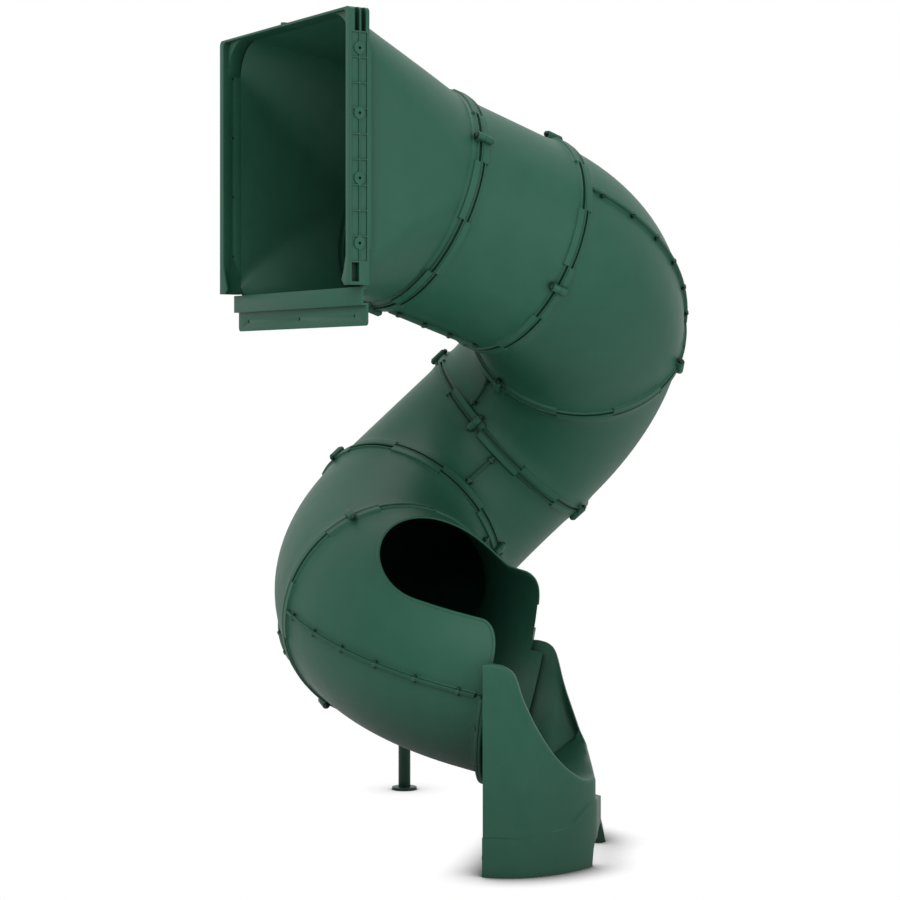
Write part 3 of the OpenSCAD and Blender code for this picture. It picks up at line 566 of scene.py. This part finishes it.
def bead(shape, points, normals, wide, thick):
    """A closed bead along points, with its width across the path and its thickness along the normals."""
    points, normals = np.asarray(points, float), np.asarray(normals, float)
    along = np.gradient(points, axis=0)
    along /= np.linalg.norm(along, axis=1)[:, None]
    normals = normals - along * (normals * along).sum(1)[:, None]
    normals /= np.linalg.norm(normals, axis=1)[:, None]
    across = np.cross(along, normals)
    t = np.linspace(0, 2 * math.pi, BEAD_SIDES, endpoint=False)
    rings = [p + wide / 2 * np.cos(t)[:, None] * a + thick / 2 * np.sin(t)[:, None] * n
             for p, a, n in zip(points, across, normals)]
    shape.loft(rings)


def on_tube(point, r):
    """A point above the elbow's plan, on its tube of radius r, and the outward normal there."""
    x, y = point
    a = math.atan2(x, BEND_R - y)
    reach = math.hypot(x, BEND_R - y)
    out = reach - BEND_R
    z = math.sqrt(max(r * r - out * out, 0))
    normal = np.array([out * math.sin(a), -out * math.cos(a), z]) / r
    return np.array([x, y, z]), normal


left, right = hood_side(1), hood_side(-1)
outline = left[::-1] + right[1:]
end_left, end_right = (bend_point(BEND + PAST_END, s * (HOOD_W + PAST_SIDE)) for s in (1, -1))
prism = Shape()
loop = [end_left] + outline + [end_right]
prism.loft([put(ELBOW[5], [(x, y, z) for x, y in loop]) for z in (1.0, 500.0)])

shape = Shape()
outer, inner = half_grid(1, 0, True, band(0), plain)
shape.slab(put(ELBOW[5], outer), put(ELBOW[5], inner))
exit_upper = cut(shape.mesh("exit_upper_blank"), prism.mesh("hood_prism"))
shape = Shape()
lugs(shape, ELBOW[5], LUG_ANGLES[5], 1, 1)
seam_pads(shape, ELBOW[5], ELBOW_BOLTS, 1)
rim = [on_tube(p, TUBE_R - RIM_DEPTH) for p in outline]
rim_points = [p for p, _ in rim]
rim_normals = np.array([n for _, n in rim]) @ ELBOW[5][:3, :3].T
bead(shape, put(ELBOW[5], rim_points), rim_normals, RIM_WIDTH, RIM_THICK)
piece("exit_upper_shell", joined([exit_upper, shape.mesh("exit_upper_trim")], "exit_upper_shell"),
      "green_plastic", ["exit_upper"])

shape = Shape()
outer, inner = half_grid(-1, 0, True, band(0), flange)
shape.slab(put(ELBOW[5], outer), put(ELBOW[5], inner))
lugs(shape, ELBOW[5], LUG_ANGLES[5], -1, 1)
seam_pads(shape, ELBOW[5], ELBOW_BOLTS, -1)
piece("exit_lower_shell", shape.mesh("exit_lower_shell"), "green_plastic", ["exit_lower"])


# ---------- entrance ----------
MOUTH_W, MOUTH_H, SIDE_T = 736.0, 706.0, 22.0
MOUTH_BOTTOM = DECK_Z + 4
MOUTH_TOP = MOUTH_BOTTOM + MOUTH_H
TOP_T, WALL = 6.0, 5.0
INNER_W = MOUTH_W / 2 - SIDE_T
FUNNEL_H = (MOUTH_TOP - TOP_T - DECK_Z) / 2 + WALL
FUNNEL_Z = DECK_Z - WALL + FUNNEL_H
WEB_ROUND, SILL_ROUND, BITE = 95.0, 28.0, 0.3
FUNNEL_END = put(ENTRY, [[-21.5, 0, 0]])[0]
FUNNEL_END_R = TUBE_R - 0.2


def funnel_section(t, share, inset):
    """Point of the funnel's section at t. share runs from 0 at the bottom seam over the side to 2 at the top seam."""
    upper = share > 1
    skin = inset * (1 - 0.36 * t ** 6)
    a = INNER_W + WALL + BITE + (FUNNEL_END_R - INNER_W - WALL - BITE) * t - skin
    b = FUNNEL_H + BITE + (FUNNEL_END_R - FUNNEL_H - BITE) * t - skin
    corner = (WEB_ROUND if upper else SILL_ROUND) + WALL
    r = corner + (FUNNEL_END_R - corner) * t ** 0.75 - skin
    flat_a, arc, flat_b = a - r, math.pi / 2 * r, b - r
    total = flat_a + arc + flat_b
    s = (share if not upper else 2 - share) * total
    if s <= flat_a:
        x, y = s, -b
    elif s <= flat_a + arc:
        q = (s - flat_a) / r
        x, y = a - r + r * math.sin(q), r - b - r * math.cos(q)
    else:
        x, y = a, -(b - r) + (s - flat_a - arc)
    return (x, -y if upper else y)


def funnel_point(t, share, inset):
    x, y = funnel_section(t, share, inset)
    lean = math.radians(SLOPE * t)
    return (FUNNEL_END[0] * t + y * math.sin(lean), -x,
            FUNNEL_Z + (FUNNEL_END[2] - FUNNEL_Z) * t + y * math.cos(lean))


def mirrored(points, side):
    points = np.array(points, float)
    points[..., 1] *= side
    return points


ENTRANCE_BOLTS = []
for t in (0.3, 0.58, 0.85):
    for share, up in ((0.0, -1), (2.0, 1)):
        x, y, z = funnel_point(t, share, 0)
        ENTRANCE_BOLTS.append(shift(x, 0, z + up * (LIP_HOLE_R - TUBE_R)) @ turn("x", 90))

ring_rows = np.concatenate([NEAR_ROWS[:27], [40.0]])
for side, name in ((1, "entrance_right"), (-1, "entrance_left")):
    shape = Shape()
    shares = np.concatenate([np.linspace(0, 1, 45), np.linspace(1, 2, 45)[1:]])
    steps = np.concatenate([[0, 0.012, 0.03], np.linspace(0.06, 1, 34)])
    skins = []
    for inset in (0, WALL):
        skins.append(mirrored([[funnel_point(t, s, inset) for s in shares] for t in steps], side))
    shape.slab(*skins)
    theta = HALF
    rows = np.repeat(-ring_rows[:, None], len(theta), 1)
    angle = np.repeat(theta[None, :], len(rows), 0)
    height = band_relief(-rows, angle if side > 0 else 360 - angle, 1)
    fade = ease(-rows, 24, 40)
    height = height * (1 - fade) - 1.0 * fade
    cos, sin = np.cos(np.radians(theta)), np.sin(np.radians(theta))
    outer = np.stack([rows, (TUBE_R + height) * cos, (TUBE_R + height) * sin], 2)
    inner_r = BORE_R + 2.6 * ease(-rows, 23, 27)
    inner = np.stack([rows, inner_r * cos, inner_r * sin], 2)
    shape.slab(mirrored(put(STRAIGHT_FRAME, outer), side), mirrored(put(STRAIGHT_FRAME, inner), side))
    lugs(shape, STRAIGHT_FRAME, LUG_ANGLES[0], side, -1)
    for share, up in ((0.0, -1), (2.0, 1)):
        line = np.array([funnel_point(t, share, 0) for t in np.linspace(0.03, 0.93, 30)])
        rings = []
        for p in line:
            section = [(0.0, -3), (0.0, 11.4), (0.6, 12), (3.3, 12), (4.0, 11.2), (4.3, 3), (6.5, -0.5), (6.5, -3)]
            rings.append(mirrored([(p[0], -u, p[2] + up * v) for u, v in section], side))
        shape.loft(rings)
    for spot in ENTRANCE_BOLTS:
        boss(shape, spot @ turn("x", 0 if side > 0 else 180) @ shift(0, 0, 0.2), LIP_T + 1.2)
    mouth = softened(name, 0.9, keep=lambda co: co.x < 0.00302 or (co.x < 0.0092 and abs(co.y) > 0.33))
    piece(name + "_shell", joined([mouth, shape.mesh(name + "_funnel")], name + "_shell"), "green_plastic", [name])


# ---------- landing ----------
BACK = -8.0
FLOOR_Z = EXIT_RISE - 313
EDGE = 9.0
CREASE_START, CREASE_RISE = 43.0, 0.85
# Height of the top edge over the distance from the exit flange, on the two sides
NEAR_EDGE = np.array([[BACK, 551], [19, 551], [41, 548], [58, 540], [72, 529], [81, 512], [86, 493], [93, 465],
                      [105, 439], [121, 400], [140, 364], [166, 318], [191, 282], [212, 255], [225, 239], [235, 229],
                      [260, 226]])
FAR_EDGE = np.array([[BACK, 543], [19, 542], [43, 536], [60, 524], [69, 509], [77, 481], [87, 438], [102, 392],
                     [124, 338], [143, 292], [159, 268], [175, 250], [200, 236], [235, 229], [260, 226]])
# Height of the step between the skirt and the body, over the distance along the sides, and then across the front
SKIRT_SIDE = np.array([[BACK, 100], [125, 101], [161, 108], [196, 114], [208, 118], [217, 127], [226, 144],
                       [240, 160], [258, 172]])
SKIRT_FRONT = np.array([[-128, 172], [80, 142], [185, 128]])
SKIRT_FAR = np.array([[BACK, 100], [125, 101], [238, 128]])
SKIRT_STEP = 6.0
# Height of the arch between the two feet, across the front, and where it starts and ends
ARCH = np.array([[-178, 60], [-75, 76], [60, 68], [185, 56]])
ARCH_FROM, ARCH_TO, ARCH_ROUND = -158.0, 172.0, 26.0
RIM_RETURN = 20.0
# The far foot flares out towards the ground
FOOT_H, FOOT_PROUD, FOOT_FLARE = 62.0, 2.0, 14.0
# The trough's section: a ledge inside the walls, and the power of its superellipse
LEDGE, BOWL = 8.0, 2.6
STRAIGHT_END, CORNER_START = 64.0, 70.0
BODY_HALF_W, SKIRT_HALF_W = 350.0, 359.0


def rounded(points, passes=6):
    """The points, each moved towards its neighbours, with the ends kept."""
    points = points.copy()
    for _ in range(passes):
        points[1:-1] = 0.25 * points[:-2] + 0.5 * points[1:-1] + 0.25 * points[2:]
    return points


def fine(table, passes=5):
    """A table resampled every 2 mm and smoothed."""
    x = np.arange(table[0, 0], table[-1, 0] + 1, 2.0)
    return np.stack([x, rounded(np.interp(x, table[:, 0], table[:, 1]), passes)], 1)


NEAR_TOP, FAR_TOP, SIDE_SKIRT = fine(NEAR_EDGE), fine(FAR_EDGE), fine(SKIRT_SIDE)


def land_corner(s0, l0, s1, l1, power):
    """A rounded corner in plan from a side wall to the front."""
    t = np.linspace(0, math.pi / 2, 34)
    return np.stack([s0 + (s1 - s0) * np.sin(t) ** power, l1 + (l0 - l1) * np.maximum(np.cos(t), 0) ** power], 1)


def land_outline(half_w, near_corner, far_corner, power):
    """Plan from the near back corner round the front to the far back corner."""
    near_straight = np.stack([np.linspace(BACK, STRAIGHT_END, 14), np.full(14, -half_w)], 1)
    far_straight = near_straight[::-1] * (1, -1)
    near = land_corner(CORNER_START, -half_w, *near_corner, power)
    far = land_corner(CORNER_START, half_w, *far_corner, power)[::-1]
    front = near[-1] + (far[0] - near[-1]) * np.linspace(0, 1, 40)[1:-1, None]
    return np.concatenate([near_straight, near, front, far, far_straight])


def wall_top(s, l):
    """Height of the top edge, between the near and the far side's."""
    share = np.clip((l + BODY_HALF_W) / (2 * BODY_HALF_W), 0, 1)
    return (1 - share) * np.interp(s, *NEAR_TOP.T) + share * np.interp(s, *FAR_TOP.T)


body = rounded(land_outline(BODY_HALF_W, (254, -119), (176, 228), 1.3))
skirt = rounded(land_outline(SKIRT_HALF_W, (258, -125), (222, 185), 1.35))
count = len(body)
spine = np.stack([np.clip(body[:, 0], BACK, CREASE_START), np.zeros(count)], 1)
inward = spine - body
inward /= np.linalg.norm(inward, axis=1)[:, None]
edge = body + inward * EDGE
edge_z = wall_top(edge[:, 0], edge[:, 1])
tip = int(np.argmax(edge[:, 0]))


def trough_z(s, l):
    """The deep trough: the bore's continuation, opening out to the walls as they fall."""
    top = wall_top(s, l)
    reach = np.where(l < 0, np.interp(s, edge[:tip, 0], -edge[:tip, 1]),
                     np.maximum(np.interp(s, edge[:tip:-1, 0], edge[:tip:-1, 1]), 60))
    half = reach - LEDGE * (1 - ease(s, 40, 240))
    across = np.minimum(np.abs(l) / half, 1)
    return FLOOR_Z + (top - FLOOR_Z) * (1 - (1 - across ** BOWL) ** (1 / BOWL))


def crease_plane(s):
    """Height of the sloping plane in which the trough meets the run-out."""
    return FLOOR_Z + CREASE_RISE * (s - CREASE_START)


across_l = np.linspace(-330, 330, 331)
along_s = np.linspace(BACK, 260, 537)
behind = trough_z(along_s[None, :], across_l[:, None]) > crease_plane(along_s)[None, :]
crease_s = np.where(behind.all(1), 260, along_s[np.argmin(behind, axis=1)])
CREASE = np.stack([across_l, rounded(crease_s, 3)], 1)


def run_out_z(s, l):
    """The flared run-out in front of the crease, straight along the slide from the crease to the front edge."""
    start = np.interp(l, *CREASE.T)
    end = np.maximum(np.interp(l, edge[:, 1], edge[:, 0]), start + 1)
    lip = wall_top(end, l)
    return crease_plane(start) + (lip - crease_plane(start)) * np.clip((s - start) / (end - start), 0, 1)


def run_length(plan):
    """Distance along an outline, at each of its points."""
    return np.concatenate([[0], np.cumsum(np.linalg.norm(np.diff(plan, axis=0), axis=1))])


def front_index(l):
    """Number of the skirt's point at l on the front."""
    return int(np.argmin(np.abs(skirt[:, 1] - l) + (skirt[:, 0] < 200) * 500))


order = np.arange(count)
near_end, far_end = front_index(SKIRT_FRONT[0, 0]), front_index(SKIRT_FRONT[-1, 0])
skirt_top = np.where(order <= near_end, np.interp(skirt[:, 0], *SIDE_SKIRT.T),
                     np.interp(skirt[:, 1], *SKIRT_FRONT.T))
far_part = order > far_end
skirt_top[far_part] = np.interp(skirt[far_part, 0], *SKIRT_FAR.T)
skirt_top = rounded(skirt_top, 4)
length = run_length(skirt)
arch_from = np.interp(ARCH_FROM, skirt[:far_end, 1], length[:far_end])
arch_to = np.interp(ARCH_TO, skirt[:, 1], length)
inside = np.clip(np.minimum(length - arch_from, arch_to - length) / ARCH_ROUND, 0, 1)
arch_z = np.interp(skirt[:, 1], *ARCH.T) * np.sqrt(1 - (1 - inside) ** 2)

outward = skirt - spine
outward /= np.linalg.norm(outward, axis=1)[:, None]
far_foot = (ease(skirt[:, 1], 150, ARCH_TO) * (1 - ease(skirt[:, 1], 215, 250)))[:, None]
rows = [np.column_stack([skirt - outward * RIM_RETURN, arch_z])]
for share in np.linspace(0, 1, 9):
    z = arch_z + (skirt_top - arch_z) * share
    splay = FOOT_PROUD + FOOT_FLARE * np.clip(1 - z / FOOT_H, 0, 1)
    splay = splay[:, None] * far_foot * (1 - ease(z, FOOT_H - 4, FOOT_H + 2))[:, None]
    rows.append(np.column_stack([skirt + outward * splay, z]))
for share, up in ((0.3, 0.8), (0.7, 2.0), (0.95, 3.6), (1.0, SKIRT_STEP)):
    rows.append(np.column_stack([skirt + (body - skirt) * share, skirt_top + up]))
for share in np.linspace(0, 1, 16)[1:]:
    rows.append(np.column_stack([body, skirt_top + SKIRT_STEP + (edge_z - EDGE - skirt_top - SKIRT_STEP) * share]))
for t in np.radians(np.arange(18, 91, 18)):
    ring = body + inward * EDGE * (1 - math.cos(t))
    rows.append(np.column_stack([ring, edge_z - EDGE * (1 - math.sin(t))]))
# Lines from the top edge to the trough's middle line, each split where it crosses the crease
t = np.linspace(0, 1, 801)
lines = edge[:, None, :] + (spine - edge)[:, None, :] * t[None, :, None]
deep = lines[..., 0] < np.interp(lines[..., 1], *CREASE.T)
crossing = np.where(deep.all(1), 1.0, t[np.argmin(deep, axis=1)])
crossing = np.minimum(rounded(crossing, 2), 0.999)
for share in np.linspace(0, 1, 41)[1:] ** 1.7:
    ring = edge + (spine - edge) * (crossing * share)[:, None]
    rows.append(np.column_stack([ring, np.where(crossing > 0.001, trough_z(ring[:, 0], ring[:, 1]), edge_z)]))
for share in np.linspace(0, 1, 15)[1:]:
    ring = edge + (spine - edge) * (crossing + (1 - crossing) * share)[:, None]
    z = np.where(crossing > 0.99, trough_z(ring[:, 0], ring[:, 1]), run_out_z(ring[:, 0], ring[:, 1]))
    rows.append(np.column_stack([ring, z]))
skin = np.array(rows)

shape = Shape()
n_rows, n_cols = skin.shape[:2]
faces = [(i * n_cols + j, i * n_cols + j + 1, (i + 1) * n_cols + j + 1, (i + 1) * n_cols + j)
         for i in range(n_rows - 1) for j in range(n_cols - 1)]
points = skin.reshape(-1, 3)
# Back wall: from each edge of the skin down to the ground, split at the middle line
base = len(points)
extra = []
for j in (0, n_cols - 1):
    column = skin[:, j]
    for p in column:
        extra.append((p[0], p[1], 0.0))
    for i in range(n_rows - 1):
        a, b = i * n_cols + j, (i + 1) * n_cols + j
        c = base + (0 if j == 0 else n_rows) + i
        faces.append((a, b, c + 1, c) if j == 0 else (a, c, c + 1, b))
points = np.concatenate([points, np.array(extra)])
shape.add(put(LANDING_FRAME, points), faces)
mesh = bpy.data.meshes.new("landing_skin")
mesh.from_pydata((np.concatenate(shape.points) * MM).tolist(), [], shape.faces)
bm = bmesh.new()
bm.from_mesh(mesh)
bmesh.ops.remove_doubles(bm, verts=bm.verts, dist=5e-5)
bmesh.ops.dissolve_degenerate(bm, edges=bm.edges, dist=1e-5)
bmesh.ops.recalc_face_normals(bm, faces=bm.faces)
if sum(f.normal.z * f.calc_area() for f in bm.faces) < 0:
    bmesh.ops.reverse_faces(bm, faces=bm.faces)
bm.to_mesh(mesh)
bm.free()
temp = bpy.data.objects.new("landing_temp", mesh)
bpy.context.scene.collection.objects.link(temp)
solid = temp.modifiers.new("wall", "SOLIDIFY")
solid.thickness, solid.offset, solid.use_even_offset = WALL * MM, -1.0, False
bpy.context.view_layer.update()
landing_mesh = evaluated(temp)
bpy.data.objects.remove(temp)


def half_ring(shape, matrix, profile, start, stop, steps):
    """A closed body: an outline of (x, radius) points turned about the tube's middle line."""
    rings = []
    for a in np.radians(np.linspace(start, stop, steps)):
        rings.append(put(matrix, [(x, r * math.cos(a), r * math.sin(a)) for x, r in profile]))
    shape.loft(rings)


COLLAR_FLANGE_R, COLLAR_LEN = 338.0, 36.0
shape = Shape()
half_ring(shape, LEVEL_EXIT, [(0, BORE_R), (0, COLLAR_FLANGE_R - 1.2), (1.2, COLLAR_FLANGE_R),
                              (6.8, COLLAR_FLANGE_R), (8, COLLAR_FLANGE_R - 1.2), (9, 322), (13, 316.5),
                              (COLLAR_LEN, 315), (COLLAR_LEN, BORE_R + 4.6), (10, BORE_R)], 180, 360, 72)
piece("landing_shell", joined([landing_mesh, shape.mesh("landing_collar")], "landing_shell"), "green_plastic",
      ["landing"], angle=30)


# ---------- bolts ----------
def bolt(shape, matrix, d, above, below):
    """A screw with a socket in its domed head, washers, a nut and the shank's end."""
    w = 0.16 * d
    shape.lathe(matrix, [(0, above), (1.12 * d, above), (1.12 * d, above + w * 0.7), (1.04 * d, above + w),
                         (0, above + w)], 26)
    a, h = above + w, 0.56 * d
    shape.lathe(matrix, [(0, a), (0.86 * d, a), (0.9 * d, a + 0.2 * h), (0.86 * d, a + 0.5 * h),
                         (0.72 * d, a + 0.8 * h), (0.5 * d, a + h), (0.34 * d, a + h), (0.3 * d, a + 0.9 * h),
                         (0.28 * d, a + 0.4 * h), (0, a + 0.36 * h)], 26)
    shape.lathe(matrix, [(0, -below - w), (1.04 * d, -below - w), (1.12 * d, -below - w * 0.7), (1.12 * d, -below),
                         (0, -below)], 26)
    corners = np.radians(np.arange(0, 360, 60))
    rings = []
    for z, r in ((0, 0.93), (-0.08, 0.98), (-0.62, 0.98), (-0.7, 0.9)):
        rings.append(put(matrix, [(r * d * math.cos(c), r * d * math.sin(c), -below - w + z * d) for c in corners]))
    shape.loft(rings)
    end = -below - w - 0.7 * d
    shape.lathe(matrix, [(0, end - 0.3 * d), (0.4 * d, end - 0.3 * d), (0.5 * d, end - 0.18 * d), (0.5 * d, end + 1),
                         (0, end + 1)], 20)
    shape.lathe(matrix, [(0, -below), (0.5 * d, -below), (0.5 * d, above), (0, above)], 20)


for joint in range(1, 7):
    place = STRAIGHT_FRAME if joint == 1 else ELBOW[joint - 1]
    shape = Shape()
    for i, angle in enumerate(LUG_ANGLES[joint - 1]):
        extra = 5.0 if joint == 5 and i == 0 else 0.0
        spot = place @ turn("x", angle) @ shift(0, LUG_R, 0) @ turn("y", 90)
        bolt(shape, spot, JOINT_BOLT_D, LUG_LEN, LUG_LEN + extra)
    name = f"joint_{joint}_bolts"
    piece(name + "_detail", shape.mesh(name), "dark_fasteners", [name], angle=30)

seams = {"entrance": (np.eye(4), ENTRANCE_BOLTS), "straight": (STRAIGHT_FRAME, STRAIGHT_BOLTS)}
for k in range(1, 5):
    seams[f"elbow_{k}"] = (ELBOW[k], ELBOW_BOLTS)
seams["exit"] = (ELBOW[5], ELBOW_BOLTS)
for name, (place, spots) in seams.items():
    shape = Shape()
    for spot in spots:
        bolt(shape, place @ spot, SEAM_BOLT_D, LIP_T + 1.4, LIP_T + 1.4)
    name += "_seam_bolts"
    piece(name + "_detail", shape.mesh(name), "dark_fasteners", [name], angle=30)

shape = Shape()
for angle in (207, 237, 270, 303, 333):
    spot = LEVEL_EXIT @ turn("x", angle) @ shift(0, (TUBE_R + COLLAR_FLANGE_R) / 2, 0) @ turn("y", 90)
    bolt(shape, spot, JOINT_BOLT_D, 8.0, 8.0)
piece("landing_bolts_detail", shape.mesh("landing_bolts"), "dark_fasteners", ["landing_bolts"], angle=30)


# ---------- plain parts with softened edges ----------
for node, width, slot in (("deck_plate", 1.2, "green_plastic"), ("support_post", 0.6, "green_steel"),
                          ("ground_plate", 1.2, "green_steel"), ("post_bracket", 0.8, "green_steel")):
    piece(node + "_soft", softened(node, width), slot, [node], angle=32)


# ---------- stage, world and lamps ----------
def floor():
    """A plain floor, white to the camera, with a painted contact shadow close to what stands on it."""
    half = 14.0
    mesh = bpy.data.meshes.new("floor")
    mesh.from_pydata([(x, y, GROUND_Z * MM - 0.0005) for x, y in ((-half, -half), (half, -half), (half, half),
                                                                 (-half, half))], [], [(0, 1, 2, 3)])
    material = bpy.data.materials.new("floor_white")
    material.use_nodes = True
    tree = material.node_tree
    make, link = node_maker(tree), tree.links.new
    shader = tree.nodes["Principled BSDF"]
    shader.inputs["Base Color"].default_value = (0.9, 0.9, 0.9, 1)
    shader.inputs["Roughness"].default_value = 0.9
    shader.inputs["Specular IOR Level"].default_value = 0.0
    white = make("ShaderNodeEmission")
    white.inputs["Color"].default_value = (1, 1, 1, 1)
    # Painted contact shadow: ambient occlusion dims the white that the camera sees near the slide
    painted_shadow_ao = make("ShaderNodeAmbientOcclusion", samples=12)
    painted_shadow_ao.inputs["Distance"].default_value = 0.13
    near = make("ShaderNodeMapRange")
    near.inputs["From Min"].default_value, near.inputs["From Max"].default_value = 0.5, 0.98
    link(painted_shadow_ao.outputs["AO"], near.inputs["Value"])
    link(near.outputs["Result"], white.inputs["Strength"])
    path = make("ShaderNodeLightPath")
    seen = make("ShaderNodeMixShader")
    link(path.outputs["Is Camera Ray"], seen.inputs[0])
    link(shader.outputs[0], seen.inputs[1])
    link(white.outputs[0], seen.inputs[2])
    link(seen.outputs[0], tree.nodes["Material Output"].inputs["Surface"])
    mesh.materials.append(material)
    obj = bpy.data.objects.new("floor", mesh)
    bpy.context.scene.collection.objects.link(obj)


floor()
# Strength of the world as a light; the camera and the reflections see it at 1, plain white
WORLD_LIGHT = 0.62
world = bpy.data.worlds.new("studio")
bpy.context.scene.world = world
world.use_nodes = True
tree = world.node_tree
make, link = node_maker(tree), tree.links.new
background = tree.nodes["Background"]
background.inputs["Color"].default_value = (1, 1, 1, 1)
path = make("ShaderNodeLightPath")
seen = make("ShaderNodeMath", operation="MAXIMUM")
link(path.outputs["Is Camera Ray"], seen.inputs[0])
glossy = make("ShaderNodeMath", operation="MAXIMUM")
link(path.outputs["Is Glossy Ray"], glossy.inputs[0])
link(path.outputs["Is Transmission Ray"], glossy.inputs[1])
link(glossy.outputs[0], seen.inputs[1])
level = make("ShaderNodeMapRange")
level.inputs["To Min"].default_value = WORLD_LIGHT
level.inputs["To Max"].default_value = 1.0
link(seen.outputs[0], level.inputs["Value"])
link(level.outputs["Result"], background.inputs["Strength"])


def lamp(name, place, target, size, power):
    """A soft area lamp that faces the target."""
    data = bpy.data.lights.new(name, "AREA")
    data.shape, data.size, data.size_y, data.energy = "RECTANGLE", size[0], size[1], power
    obj = bpy.data.objects.new(name, data)
    obj.location = place
    aim = np.array(target, float) - np.array(place, float)
    obj.rotation_euler = (math.atan2(math.hypot(aim[0], aim[1]), -aim[2]), 0, math.atan2(-aim[0], aim[1]))
    bpy.context.scene.collection.objects.link(obj)


middle = (0.6, 0.1, -0.4)
lamp("key", (-3.6, -3.6, 2.0), middle, (3.2, 3.2), 130)
lamp("fill", (2.2, -4.6, 0.6), middle, (3.0, 3.0), 55)
lamp("top", (0.6, 0.4, 4.2), middle, (3.6, 3.6), 110)

bpy.context.scene.view_settings.view_transform = "Standard"
